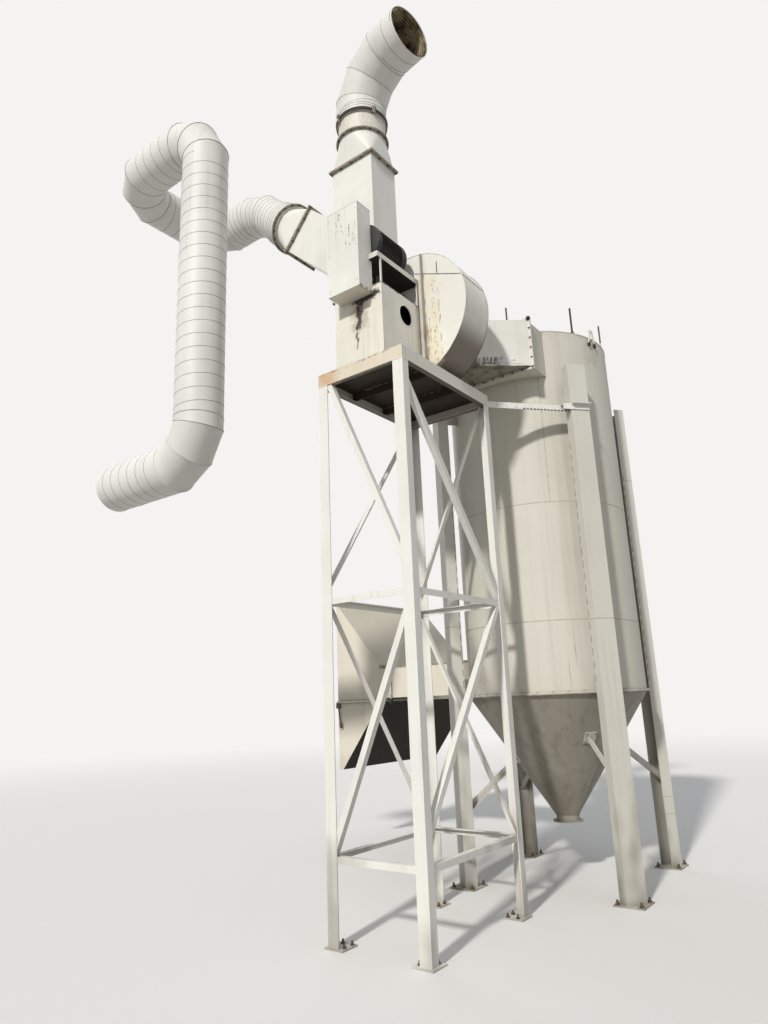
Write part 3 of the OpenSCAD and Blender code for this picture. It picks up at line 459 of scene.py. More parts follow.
shell_marks = [
    ("#A39C8C", 0.30, (VESSEL_X, VESSEL_Y, 3.5), (1, 1, 2), 0.1, (0.075, 4.5, 0.50, 0.76)),
    ("#A9743F", 0.6, (VESSEL_X, VESSEL_Y, SHELL_FOOT + 0.15), (1, 1, 0.15), 0.6, (0.035, 1.6, 0.64, 0.70)),
    ("#7E4F30", 0.3, lug_foot, (0.05, 0.05, 0.03), 0.12, (0.03, 0.3, 0.40, 0.55)),
    ("#8A7F6B", 0.2, (VESSEL_X, VESSEL_Y, SHELL_TOP), (1, 1, 0.01), 0.09, RUNS),
]
RODS_FROM = 0.125
roof_marks = [("#33282A", 0.95, (VESSEL_X, VESSEL_Y, SHELL_TOP + RODS_FROM + 0.2), (1, 1, 0.2), 0.01,
    (0.1, 0.1, 0.0, 0.1))]
cone_marks = [("#6C665B", 0.4, (VESSEL_X, VESSEL_Y, 1.2), (1, 1, 0.6), 0.2, (0.09, 1.4, 0.45, 0.72))]

# Each finish given a colour for faces that look down has painted shade there, with some soot.
tower_enamel = weathered_paint("tower enamel on rolled angle", "#EDECE6", streaks=0.2, blotches=0.12,
    flecks=0.4, painted_corner_shade=0.4)
deck_enamel = weathered_paint("enamel under the deck, with painted shade", "#A79C8B", streaks=0.3, flecks=0.4, gloss=0.15,
    shade_beneath=("#2A231D", 0.95), marks=deck_shade_marks)
channel_enamel = weathered_paint("rust-tinted enamel on channel", "#E6E2D8", flecks=0.6,
    shade_beneath=("#3B3027", 0.9), marks=channel_marks)
pedestal_enamel = weathered_paint("greasy enamel on the pedestal, with painted shade", "#F0EEE6", streaks=0.3, flecks=0.4,
    marks=pedestal_marks)
# painted shade: the table's underside made almost black
table_enamel = weathered_paint("enamel on the motor table, with painted shade beneath", "#E3E0D8", flecks=0.4, gloss=0.3,
    shade_beneath=("#16130F", 0.98))
guard_enamel = weathered_paint("enamel on the belt guard", "#EFEFE8", streaks=0.15, flecks=0.3, roughness=0.45,
    shade_beneath=("#C9BEA9", 0.5), marks=guard_marks)
casing_enamel = weathered_paint("enamel on the fan casing", "#F2F1E9", streaks=0.18, blotches=0.12,
    flecks=0.35, shade_beneath=("#57493B", 0.85), marks=casing_marks)
inlet_enamel = weathered_paint("tar-stained enamel on the inlet", "#EAE9E2", streaks=0.2, flecks=0.3,
    shade_beneath=("#857A69", 0.75), marks=inlet_marks)
duct_enamel = weathered_paint("enamel on folded duct", "#EFEFE8", streaks=0.12, flecks=0.15, roughness=0.42,
    shade_beneath=("#A59C8D", 0.5))
collar_enamel = weathered_paint("rust-specked enamel on the collar", "#E6E2D8", flecks=0.4, marks=collar_marks)
spiral_enamel = weathered_paint("enamel on spiral duct", "#E7E7E2", grime="#A3A098", streaks=0.25, flecks=0.05,
    painted_corner_shade=0.3, roughness=0.5)
vessel_enamel = weathered_paint("chalky enamel on the vessel", "#D3D0C5", grime="#A8A292", streaks=0.15,
    blotches=0.15, flecks=0.08, roughness=0.55, marks=shell_marks)
roof_enamel = weathered_paint("chalky enamel on the roof", "#D4D0C4", grime="#AFA794", flecks=0.3,
    marks=roof_marks)
# painted shade, with some dirt: the hopper's sloping underside made almost black
hood_enamel = weathered_paint("cream enamel on the intake hood", "#E3DDCE", grime="#B4A88F", streaks=0.2,
    blotches=0.15, flecks=0.15, roughness=0.55, gloss=0.12, shade_beneath=("#1D1813", 0.97))
post_enamel = weathered_paint("chalky enamel on the vessel legs", "#D2D0C7", grime="#A59C8A", streaks=0.2,
    blotches=0.12, flecks=0.25, roughness=0.55, splash=0.7)
# the cone's paint is darker than the shell's: partly dust, partly painted shade of its downward slope
cone_enamel = weathered_paint("dusty enamel on the cone, darkened with painted shade", "#A6A196", grime="#7B756A", streaks=0.25,
    blotches=0.25, flecks=0.15, roughness=0.65, marks=cone_marks)
lug_enamel = weathered_paint("white enamel on the lug", "#E9E7E0", flecks=0.9, splash=0)
flange_steel = small_part_finish("weathered flange steel", "#A0988A", 0.6, 0.0, "#5A5043", 0.6, 0.05)
bolt_steel = small_part_finish("zinc-plated bolts gone dull", "#5F584E", 0.5, 0.4, "#5A3C26", 0.6)
seam_dirt = small_part_finish("dirt along a lock seam", "#49453F", 0.7, 0.0, "#B4B1AA", 0.50, 0.09, 0.1)
weld_steel = small_part_finish("painted weld bead", "#C9C3B4", 0.6, 0.0, "#8A6A48", 0.5)
motor_enamel = small_part_finish("black enamel on cast iron", "#0D0D0F", 0.55, 0.0, "#24211E", 0.40, 0.03, 0.35)
rusty_bar = small_part_finish("rusted round bar", "#33282A", 0.7, 0.2, "#6B382A", 0.6)
clip_zinc = small_part_finish("zinc-plated clip gone dull", "#8C877C", 0.45, 0.4, "#4A4136", 0.6)
soot_and_shade_black = small_part_finish("sooty black for joints, and painted shade", "#26221E", 0.75, 0.0, "#4A4238", 0.5, 0.03)
# painted shade, with some soot: dark patches over most of the liner
liner_steel = small_part_finish("galvanised liner with soot and painted shade", "#9A8868", 0.5, 0.2, "#1E1914", 0.9, 0.12)

NODE_FINISH = {
    "platform_frame": channel_enamel, "platform_deck": deck_enamel, "fan_pedestal": pedestal_enamel,
    "motor_table": table_enamel, "belt_guard": guard_enamel, "fan_casing": casing_enamel,
    "fan_inlet_box": inlet_enamel, "motor": motor_enamel, "fan_shaft": motor_enamel,
    "vessel_cone": cone_enamel, "dust_outlet": cone_enamel, "stack_collar": collar_enamel,
    "vessel_roof": roof_enamel,
}
KIND_FINISH = [
    (("leg_", "tower_", "braces_", "platform_"), tower_enamel),
    (("return_", "stack_elbow"), spiral_enamel),
    (("discharge_", "branch_", "stack_"), duct_enamel),
    (("vessel_leg",), post_enamel),
    (("intake_",), hood_enamel),
    (("vessel_",), vessel_enamel),
]
for name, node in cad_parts.items():
    finish = NODE_FINISH.get(name) or next(m for starts, m in KIND_FINISH if name.startswith(starts))
    node.data.materials.clear()
    node.data.materials.append(finish)


# ---------------------------------------------------------------- flange rims and their bolts
HALF_FLANGE = FLANGE_OUT / 2
PROUD = 0.0015  # the weathered rims hide the edges of the flanges by this much


def round_the_sides(half_x, half_y, along_x, along_y):
    """Points round a rectangle centred on the origin, along_x of them on each X side."""
    points = [(half_x * (2 * k / (along_x - 1) - 1), y) for k in range(along_x) for y in (-half_y, half_y)]
    rest = range(1, along_y - 1)
    return points + [(x, half_y * (2 * k / (along_y - 1) - 1)) for k in rest for x in (-half_x, half_x)]


def dressed_square_flange(name, at, half_x, half_y, along_x, along_y, material, slot):
    """The weathered rim of a pair of rectangular flanges, and its bolts, square to the matrix's Z."""
    deep, grow = FLANGE_THICK + PROUD, FLANGE_OUT + PROUD
    section = ((grow, -deep), (grow, deep), (0.002, deep), (0.002, -deep))
    vertices, faces = [], []
    for sx, sy in ((-1, -1), (1, -1), (1, 1), (-1, 1)):
        vertices += [at @ Vector((sx * (half_x + o), sy * (half_y + o), z)) for o, z in section]
    for i in range(4):
        a, b = i * 4, (i + 1) % 4 * 4
        faces += [(a + k, b + k, b + (k + 1) % 4, a + (k + 1) % 4) for k in range(4)]
    make_piece(name + "_rim", vertices, faces, material, slot, 20)
    heads = []
    for x, y in round_the_sides(half_x + HALF_FLANGE, half_y + HALF_FLANGE, along_x, along_y):
        for side in (1, -1):
            heads.append((at @ Vector((x, y, side * deep)), at.to_3x3() @ Vector((0, 0, side))))
    bolt_set(name + "_bolts", 0.012, heads, bolt_steel, slot)


def dressed_ring_flange(name, at, radius, thick, count, size, material, slot):
    """The weathered rim of a round flange with a bolt circle, from z = 0 to its thickness."""
    out = [[], []]
    inner, outer, low, high = radius + 0.003, radius + FLANGE_OUT + PROUD, -PROUD, thick + PROUD
    lathed([(inner, low), (outer, low), (outer, high), (inner, high)], 72, at, out, True)
    make_piece(name + "_rim", *out, material, slot, 30)
    heads = []
    for k in range(count):
        a = 2 * math.pi * (k + 0.5) / count
        for z, side in ((thick, 1), (0, -1)):
            spot = at @ round_z(a, radius + HALF_FLANGE, z)
            heads.append((spot, at.to_3x3() @ Vector((0, 0, side))))
    bolt_set(name + "_bolts", size, heads, bolt_steel, slot)


half_x, half_y = (DUCT_X1 - DUCT_X0) / 2, (DUCT_Y1 - DUCT_Y0) / 2
dressed_square_flange("casing_outlet", shift((DUCT_X, DUCT_Y, DUCT_FOOT)), half_x, half_y, 4, 5, duct_enamel,
    "fan_paint")
dressed_square_flange("duct_top", shift((DUCT_X, DUCT_Y, DUCT_TOP)), half_x, half_y, 4, 5, flange_steel,
    "fan_paint")
branch = shift((DUCT_X, DUCT_Y1, BRANCH_Z)) @ turned(BRANCH_SLOPE - 90)
dressed_square_flange("branch", branch @ shift((0, 0, BRANCH_LONG)), half_x, BRANCH_HIGH / 2, 4, 5,
    flange_steel, "fan_paint")

collar_low, collar_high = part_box("stack_collar")
dressed_ring_flange("stack_ring", shift((DUCT_X, DUCT_Y, collar_low.z)), COLLAR_R, FLANGE_THICK, 16, 0.011,
    flange_steel, "fan_paint")
BRANCH_RING_R, BRANCH_RING_THICK = 0.251, 0.014
riser_foot = branch @ shift((0, 0, BRANCH_LONG + BRANCH_ROUND))
dressed_ring_flange("branch_ring", riser_foot @ shift((0, 0, -BRANCH_RING_THICK / 2)), BRANCH_RING_R,
    BRANCH_RING_THICK, 18, 0.011, flange_steel, "fan_paint")

# the wide sleeve that the riser's first stretch slides into
SLEEVE_LONG = 0.215
sleeve, sleeve_seams = [[], []], [[], []]
inner, low = RETURN_R + 0.001, -0.012
profile = [(inner, low), (BRANCH_RING_R, low), (BRANCH_RING_R, SLEEVE_LONG)]
profile += [(RETURN_R + 0.006, SLEEVE_LONG + 0.030), (inner, SLEEVE_LONG + 0.032)]
lathed(profile, 72, riser_foot, sleeve, True)
make_piece("riser_sleeve", *sleeve, spiral_enamel, "duct_paint", 25)
for z in (0.052, 0.096, 0.140, 0.184):
    ring_bead(riser_foot, BRANCH_RING_R, z, *LOCK_SEAM, sleeve_seams)
make_piece("riser_sleeve_seams", *sleeve_seams, seam_dirt, "duct_paint", 60)

# joint ring, lip and over-centre clips under the stack elbow; the two profiles in millimetres. The ring is
# black: painted shade in the gap under the lip.
stack_foot = shift((DUCT_X, DUCT_Y, collar_high.z))
for name, material, slot, profile in (
    ("stack_joint_ring", soot_and_shade_black, "fan_paint", ((1, -30), (9.5, -30), (9.5, -2), (1, -2))),
    ("stack_elbow_lip", spiral_enamel, "duct_paint", ((1, -1), (14, -1), (15, 6), (1, 20))),
):
    ring = [[], []]
    lathed([(STACK_R + out / 1000, z / 1000) for out, z in profile], 72, stack_foot, ring, True)
    make_piece(name, *ring, material, slot, 30)
clips = [[], []]
FIRST_CLIP = 156  # degrees
for k in range(4):
    clip = stack_foot @ turned(z=FIRST_CLIP + 90 * k)
    block((0.008, 0.042, 0.060), 0.002, clip @ shift((STACK_R + 0.014, 0, -0.022)), clips)
    latch = clip @ shift((STACK_R + 0.024, 0, -0.014)) @ Matrix.Rotation(0.22, 4, "Y")
    block((0.010, 0.014, 0.085), 0.003, latch, clips)
    lathed([(0.005, -0.028), (0.005, 0.028)], 12, clip @ shift((STACK_R + 0.020, 0, 0.014)) @ turned(90), clips)
make_piece("stack_clips", *clips, clip_zinc, "fan_paint")

# flange between the fan inlet and the vessel's box
box_low, box_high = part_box("vessel_box")
mid = (box_low + box_high) / 2
heads = []
half_wide = (box_high.y - box_low.y) / 2 - HALF_FLANGE
half_high = (box_high.z - box_low.z) / 2 - HALF_FLANGE
for y, z in round_the_sides(half_wide, half_high, 11, 6):
    for side in (-1, 1):
        heads.append((Vector((inlet_high.x + side * FLANGE_THICK, mid.y + y, mid.z + z)), (side, 0, 0)))
bolt_set("fan_inlet_bolts", 0.010, heads, bolt_steel, "fan_paint")
heads = []
for y in (-half_wide, half_wide):
    heads.append((Vector((inlet_high.x - FLANGE_THICK, mid.y + y, mid.z + half_high)), (-1, 0, 0)))
bolt_set("fan_inlet_corner_bolts", 0.022, heads, soot_and_shade_black, "fan_paint")

# bolts of the vessel's bottom ring, painted with the cone
heads = []
for k in range(40):
    spot = on_vessel(VESSEL_R + HALF_FLANGE, 9 * (k + 0.5), SHELL_FOOT)
    heads += [(spot + Vector((0, 0, side * FLANGE_THICK)), (0, 0, side)) for side in (1, -1)]
bolt_set("vessel_ring_bolts", 0.010, heads, cone_enamel, "vessel_paint")

# bolts of the intake hood's flange
hood_low, hood_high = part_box("intake_hood")
heads = []
for k in range(17):
    x = hood_low.x + 0.05 + (hood_high.x - hood_low.x - 0.1) * k / 16
    heads.append((Vector((x, hood_low.y + HALF_FLANGE, SHELL_FOOT - FLANGE_THICK)), (0, 0, -1)))
for k in range(6):
    y = hood_low.y + 0.06 + (hood_high.y - hood_low.y - 0.12) * k / 5
    for side in (1, -1):
        spot = Vector((hood_low.x + HALF_FLANGE, y, SHELL_FOOT + side * FLANGE_THICK))
        heads.append((spot, (0, 0, side)))
bolt_set("hood_flange_bolts", 0.010, heads, hood_enamel, "vessel_paint")

# anchor nuts: three on each foot plate of the tower, four on each of the vessel
FOOT_THICK = 0.012
heads = []
for sx in (0, 1):
    for sy in (0, 1):
        for px, py in ((0.123, 0.123), (0.123, 0.035), (0.035, 0.123)):
            spot = tower_point(TOWER_W - px if sx else px, TOWER_D - py if sy else py, FOOT_THICK)
            heads.append((spot, (0, 0, 1)))
bolt_set("tower_anchor_nuts", 0.016, heads, bolt_steel, "tower_paint", 0.030)
heads = []
for angle in LEG_ANGLES:
    foot = on_vessel(LEG_RING, angle, FOOT_THICK)
    heads += [(foot + Vector((sx * 0.1, sy * 0.1, 0)), (0, 0, 1)) for sx in (1, -1) for sy in (1, -1)]
bolt_set("vessel_anchor_nuts", 0.020, heads, bolt_steel, "vessel_paint", 0.038)

# ---------------------------------------------------------------- welds of the tower
BRACE_ENDS = {  # top end from its corner and under the frame, low end from its corner and over the ring
    "left": ((0.126, 0.036, 0.108, 0.268), (0.097, 0.152, 0.099, 0.115), True),
    "front": ((0.102, 0.209, 0.145, 0.133), (0.147, 0.077, 0.127, 0.263), False),
    "right": ((0.104, 0.033, 0.078, 0.266), (0.080, 0.160, 0.095, 0.095), False),
    "back": ((0.130, 0.125, 0.130, 0.180), (0.140, 0.090, 0.130, 0.133), True),
}
BRACE_HIGH = 0.050
LEG_X, LEG_Y, LEG_THICK = 0.080, 0.100, 0.008
TOWER_WELD = (0.010, 0.004)


def on_face(face, along, up, out):
    """A point of a tower face, out of it by a distance, and the face's outward direction."""
    if face == "left":
        return tower_point(-out, along, up), Vector((-1, 0, 0))
    if face == "right":
        return tower_point(TOWER_W + out, along, up), Vector((1, 0, 0))
    if face == "front":
        return tower_point(along, -out, up), Vector((0, -1, 0))
    return tower_point(along, TOWER_D + out, up), Vector((0, 1, 0))


beads = [[], []]
for face, (upper, lower, far) in BRACE_ENDS.items():
    width, leg = (TOWER_D, LEG_Y) if face in ("left", "right") else (TOWER_W, LEG_X)
    high_bay = (upper, RING_TOPS[0], LEG_TOP, far)
    low_bay = (lower, RING_TOPS[1], RING_TOPS[0] - BRACE_HIGH, not far)
    for ends, z0, z1, way in (high_bay, low_bay):
        top = (width - ends[0] if way else ends[0], z1 - ends[1])
        low = (ends[2] if way else width - ends[2], z0 + ends[3])
        slope = (top[1] - low[1]) / (top[0] - low[0])
        half = BRACE_HIGH / 2 * math.hypot(1, slope)
        for edge in (leg, width - leg):
            z = low[1] + (edge - low[0]) * slope
            if z0 < z < z1:
                p0, n = on_face(face, edge, max(z - half, z0), -LEG_THICK)
                p1 = on_face(face, edge, min(z + half, z1), -LEG_THICK)[0]
                line_bead(p0, p1, n, *TOWER_WELD, beads, 12)
    for ring_top in RING_TOPS:
        for edge in (leg, width - leg):
            p0, n = on_face(face, edge, ring_top - BRACE_HIGH, -LEG_THICK)
            line_bead(p0, on_face(face, edge, ring_top, -LEG_THICK)[0], n, *TOWER_WELD, beads, 8)
for x, dx in ((0, 1), (TOWER_W, -1)):
    for y, dy in ((0, 1), (TOWER_D, -1)):
        for z, up in ((LEG_TOP, -1), (FOOT_THICK, 1)):
            at = tower_point(x, y, z)
            line_bead(at, tower_point(x + dx * LEG_X, y, z), (0, -dy, up), *TOWER_WELD, beads, 10)
            line_bead(at, tower_point(x, y + dy * LEG_Y, z), (-dx, 0, up), *TOWER_WELD, beads, 10)
make_piece("tower_welds", *beads, tower_enamel, "tower_paint", 60)

# the strut's end cleat across the outer face of the nearest vessel leg, and a row of dark dashes along its side
POST_WIDE, POST_DEEP = 0.190, 0.112
STRUT_HIGH, CLEAT_THICK = 0.060, 0.008
DASHES_FROM, DASH_STEP, DASH_LONG = 0.36, 0.036, 0.019
leg_a = vessel_axis @ turned(z=LEG_ANGLES[0]) @ shift((LEG_RING, 0, LEG_TOP))
cleat = [[], []]
at = leg_a @ shift((POST_DEEP / 2 + 0.006, -0.0425, STRUT_HIGH / 2))
block((CLEAT_THICK, 0.275, STRUT_HIGH), 0.0015, at, cleat)
for long, wide, x, y in ((0.060, 0.080, -0.022, -0.140), (0.048, POST_WIDE, 0.030, 0)):
    at = leg_a @ shift((POST_DEEP / 2 + x, y, STRUT_HIGH - CLEAT_THICK / 2))
    block((long, wide, CLEAT_THICK), 0.0015, at, cleat)
make_piece("strut_end_cleat", *cleat, tower_enamel, "tower_paint", 30)
along = leg_a.translation - tower_point(TOWER_W, 0, LEG_TOP)
along = Vector((along.x, along.y, 0)).normalized()
side = along.cross(Vector((0, 0, 1)))
dashes = [[], []]
for k in range(20):
    start = tower_point(TOWER_W, 0, LEG_TOP + 0.006) + along * (DASHES_FROM + DASH_STEP * k) + side * 0.002
    line_bead(start, start + along * DASH_LONG, side, 0.012, 0.004, dashes, 2, 0)
make_piece("strut_dark_dash_row", *dashes, soot_and_shade_black, "tower_paint", 60)

# ---------------------------------------------------------------- fan group
ped_low, ped_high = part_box("fan_pedestal")
table_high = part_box("motor_table")[1]
guard_low, guard_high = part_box("belt_guard")
casing_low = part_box("fan_casing")[0]
RIB_OUT = 0.040
CASING_X0, CASING_X1 = casing_low.x + RIB_OUT, casing_low.x + RIB_OUT + (DUCT_X1 - DUCT_X0)

MOTOR_R = 0.165
MOTOR_X0 = ped_low.x + 0.015
MOTOR_Y = corner.y + 0.410
MOTOR_Z = table_high.z + 0.178
along_x = shift((MOTOR_X0, MOTOR_Y, MOTOR_Z)) @ turned(y=90)

# cooling fins: long low ribs round the motor's barrel, none where the feet are
FIN_HIGH, FIN_THICK = 0.012, 0.004
fins = [[], []]
for k in range(48):
    a = math.radians(7.5 * k)
    if math.cos(a) < 0.8:
        spoke = along_x @ Matrix.Rotation(a, 4, "Z") @ shift((MOTOR_R + FIN_HIGH / 2 - 0.001, 0, 0.215))
        block((FIN_HIGH + 0.002, FIN_THICK, 0.290), 0.001, spoke, fins)
make_piece("motor_cooling_fins", *fins, motor_enamel, "motor_black", 30)
shields = [[], []]
rear = [(MOTOR_R + 0.003, 0.352), (MOTOR_R + 0.013, 0.358), (MOTOR_R + 0.013, 0.405), (MOTOR_R + 0.004, 0.428)]
lathed(rear + [(MOTOR_R * 0.82, 0.438), (MOTOR_R * 0.3, 0.441)], 48, along_x, shields)
front = [(MOTOR_R + 0.012, 0.004), (MOTOR_R + 0.012, 0.050), (MOTOR_R + 0.002, 0.060)]
lathed([(MOTOR_R * 0.4, -0.006), (MOTOR_R * 0.9, -0.004)] + front, 48, along_x, shields)
make_piece("motor_end_shields", *shields, motor_enamel, "motor_black", 30)
grille = [[], []]
for k in range(7):
    ring_bead(along_x, 0.035 + 0.018 * k, 0.4405, 0.006, 0.003, grille, steps=36)
make_piece("motor_cowl_grille", *grille, motor_enamel, "motor_black", 30)
fittings = [[], []]
terminal = shift((MOTOR_X0 + 0.240, MOTOR_Y + MOTOR_R * 0.80, MOTOR_Z + MOTOR_R * 0.62)) @ turned(-52)
block((0.130, 0.100, 0.070), 0.008, terminal, fittings)
gland = terminal @ shift((0.060, 0, 0)) @ turned(y=90)
lathed([(0.014, 0.0), (0.014, 0.030), (0.010, 0.034)], 12, gland, fittings)
EYE_R, EYE_BAR = 0.020, 0.006
bar = [(EYE_R + EYE_BAR * math.cos(b), EYE_BAR * math.sin(b)) for b in (math.pi / 4 * k for k in range(8))]
eye_at = shift((MOTOR_X0 + 0.2, MOTOR_Y, MOTOR_Z + MOTOR_R + 0.026)) @ turned(90)
lathed(bar, 16, eye_at, fittings, True)
make_piece("motor_fittings", *fittings, motor_enamel, "motor_black")
heads = []
for x in (0.075, 0.355):
    heads += [(Vector((MOTOR_X0 + x, MOTOR_Y + y, table_high.z + 0.060)), (0, 0, 1)) for y in (-0.105, 0.105)]
bolt_set("motor_foot_bolts", 0.012, heads, bolt_steel, "motor_black")

# belt guard: small painted screws and folded edges
heads = []
for z in (0.06, 0.40, 0.76):
    for y in (guard_low.y + 0.02, guard_high.y - 0.02):
        heads.append((Vector((guard_low.x, y, guard_low.z + z)), (-1, 0, 0)))
bolt_set("guard_screws", 0.006, heads, guard_enamel, "fan_paint")
FOLD = (0.006, 0.002)
folds = [[], []]
x0, y0, y1 = guard_low.x, guard_low.y, guard_high.y
for z, out in ((guard_low.z, -1), (guard_high.z, 1)):
    line_bead(Vector((x0, y0, z)), Vector((x0, y1, z)), (-1, 0, out), *FOLD, folds)
    line_bead(Vector((x0, y0, z)), Vector((guard_high.x, y0, z)), (0, -1, out), *FOLD, folds)
for y, out in ((y0, -1), (y1, 1)):
    line_bead(Vector((x0, y, guard_low.z)), Vector((x0, y, guard_high.z)), (-1, out, 0), *FOLD, folds)
make_piece("guard_folded_edges", *folds, guard_enamel, "fan_paint", 60)

# pedestal: foot welds, corner weld and the rim of the round hole, then the bolts of the bearings on it
beads = [[], []]
x0, y0, x1, y1 = ped_low.x, ped_low.y, ped_high.x, ped_high.y
for a, b, n in (
    ((x0, y0), (x1, y0), (0, -1, 1)),
    ((x0, y0), (x0, y1), (-1, 0, 1)),
    ((x0, y1), (x1, y1), (0, 1, 1)),
):
    line_bead(Vector((*a, DECK_TOP)), Vector((*b, DECK_TOP)), n, 0.012, 0.004, beads)
line_bead(Vector((x0, y0, DECK_TOP)), Vector((x0, y0, ped_high.z)), (-1, -1, 0), 0.007, 0.002, beads)
HOLE_R = 0.093
hole = shift(tower_point(0.403, 0.219, DECK_TOP + 0.526)) @ turned(90)
ring_bead(hole, HOLE_R, 0.0, 0.008, 0.002, beads, steps=48)
make_piece("pedestal_welds", *beads, pedestal_enamel, "fan_paint", 60)
heads = []
for x in (0.171, 0.511):
    for y in (-0.075, 0.075):
        heads.append((tower_point(x, 0.365 + y, ped_high.z + 0.051), (0, 0, 1)))
bolt_set("bearing_bolts", 0.016, heads, bolt_steel, "motor_black")

# casing: folded rims of the scroll, and the joint across its sides and its back
SPLIT_ANGLE = 160.5
# each arc: centre's Y from the tower's corner, its height, radius, first and last angle
SCROLL_ARCS = (
    (0.310, 5.255, 0.465, 33, 90),
    (0.310, 5.145, 0.575, 90, 180),
    (0.420, 5.145, 0.685, 180, 270),
    (0.420, 5.255, 0.795, 270, 360),
)
rims, joint = [[], []], [[], []]
outline = []
for ay, az, radius, a0, a1 in SCROLL_ARCS:
    for k in range(25):
        a = math.radians(a0 + (a1 - a0) * k / 24)
        outline.append((corner.y + ay + radius * math.cos(a), az + radius * math.sin(a)))
for x, side in ((CASING_X0, -1), (CASING_X1, 1)):
    points = [Vector((x, y, z)) for y, z in outline]
    bead(points, [Vector((side, 0, 0))] * len(points), 0.010, 0.003, rims, False, 0.1)
    ends = [Vector((x, corner.y + y, z)) for y, z in ((0.250, 5.529), (-0.228, 5.333))]
    line_bead(*ends, (side, 0, 0), *WELD, joint, ripple=0.1)
ay, az, radius = SCROLL_ARCS[1][:3]
n = Vector((0, math.cos(math.radians(SPLIT_ANGLE)), math.sin(math.radians(SPLIT_ANGLE))))
back = Vector((0, corner.y + ay, az)) + n * radius
line_bead(*(back + Vector((x, 0, 0)) for x in (CASING_X0, CASING_X1)), n, *WELD, joint, ripple=0.1)
make_piece("casing_folded_rims", *rims, casing_enamel, "fan_paint", 60)
make_piece("casing_split_joint", *joint, seam_dirt, "fan_paint", 60)

# ---------------------------------------------------------------- vessel
welds = [[], []]
COURSE_1, COURSE_2 = 2.375, 3.515
for z in (COURSE_1, COURSE_2):
    ring_bead(vessel_axis, VESSEL_R, z, *WELD, welds, 0.3, 160)
for z0, z1, angles in (
    (SHELL_FOOT + 0.012, COURSE_1, (-205, -75, 45)),
    (COURSE_1, COURSE_2, (-128, -10, 110)),
    (COURSE_2, SHELL_TOP, (-148, -28, 92)),
):
    for angle in angles:
        ends = [on_vessel(VESSEL_R, angle, z) for z in (z0, z1)]
        line_bead(*ends, round_z(math.radians(angle)), *WELD, welds, 60, 0.35)
make_piece("vessel_course_welds", *welds, weld_steel, "vessel_paint", 60)
rim = [[], []]
ring_bead(vessel_axis, VESSEL_R - 0.001, SHELL_TOP - 0.006, 0.014, 0.005, rim, 0.1, 128)
make_piece("vessel_top_weld", *rim, vessel_enamel, "vessel_paint", 60)

cone_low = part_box("vessel_cone")[0]
OUT_R, CONE_FOOT, CONE_TOP = 0.110, cone_low.z, SHELL_FOOT - FLANGE_THICK
tilt = math.atan2(VESSEL_R - OUT_R, CONE_TOP - CONE_FOOT)
seams = [[], []]
for angle in (-110, 10, 130):
    n = round_z(math.radians(angle), math.cos(tilt), -math.sin(tilt))
    ends = [on_vessel(r, angle, z) for r, z in ((OUT_R, CONE_FOOT), (VESSEL_R, CONE_TOP))]
    line_bead(*ends, n, *WELD, seams, 50)
make_piece("cone_seam_welds", *seams, cone_enamel, "cone_paint", 60)

ROOF_RISE = 0.120
roof_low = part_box("vessel_roof")[0]
laps = [[], []]
for k in range(8):
    ends = [on_vessel(r, 45 * k + 20, roof_low.z + z) for r, z in ((VESSEL_R - 0.01, 0.002), (0.06, ROOF_RISE))]
    line_bead(*ends, (0, 0, 1), 0.020, 0.005, laps, 30, 0.05)
make_piece("roof_lap_seams", *laps, roof_enamel, "vessel_paint", 60)

# lifting lug on the rim: two white posts leaning together on rusty feet, with a pin
lug_at = vessel_axis @ turned(z=LUG_ANGLE) @ shift((VESSEL_R + 0.012, 0, SHELL_TOP))
lug, feet = [[], []], [[], []]
for y in (-0.034, 0.034):
    post = lug_at @ shift((0, y, 0.010)) @ Matrix.Rotation(math.copysign(0.20, y), 4, "X")
    block((0.016, 0.022, 0.170), 0.003, post, lug)
    block((0.026, 0.020, 0.050), 0.003, lug_at @ shift((0.002, y * 1.40, -0.080)), feet)
lathed([(0.008, -0.030), (0.008, 0.030)], 14, lug_at @ shift((0, 0, 0.070)) @ turned(90), lug)
make_piece("vessel_lifting_lug", *lug, lug_enamel, "vessel_paint", 30)
make_piece("vessel_lug_feet", *feet, rusty_bar, "vessel_paint", 30)
rod = [[], []]
foot = shift(on_vessel(VESSEL_R - 0.05, -117, SHELL_TOP - 0.005))
lathed([(0.010, 0.0), (0.010, 0.325), (0.007, 0.330)], 14, foot, rod)
lathed([(0.026, 0.0), (0.026, 0.014), (0.016, 0.050), (0.011, 0.056)], 16, foot, rod)
make_piece("roof_rod", *rod, rusty_bar, "vessel_paint", 30)

# welds across the legs where their lengths join
leg_frames = [vessel_axis @ turned(z=angle) for angle in LEG_ANGLES]
POST_FACE = LEG_RING + POST_DEEP / 2
splices = [[], []]
for leg, heights in zip(leg_frames, ((2.354,), (3.996, 0.667, 0.504), (2.40,), (2.40,))):
    for z in heights:
        left, right = ((POST_FACE, side * POST_WIDE / 2) for side in (-1, 1))
        for start, end, n, steps in (
            (left, right, (1, 0), 20),
            (left, (POST_FACE - POST_DEEP, left[1]), (0, -1), 14),
            (right, (POST_FACE - POST_DEEP, right[1]), (0, 1), 14),
        ):
            n = leg.to_3x3() @ Vector((*n, 0))
            line_bead(leg @ Vector((*start, z)), leg @ Vector((*end, z)), n, 0.009, 0.003, splices, steps)
make_piece("vessel_leg_splice_welds", *splices, weld_steel, "vessel_paint", 60)

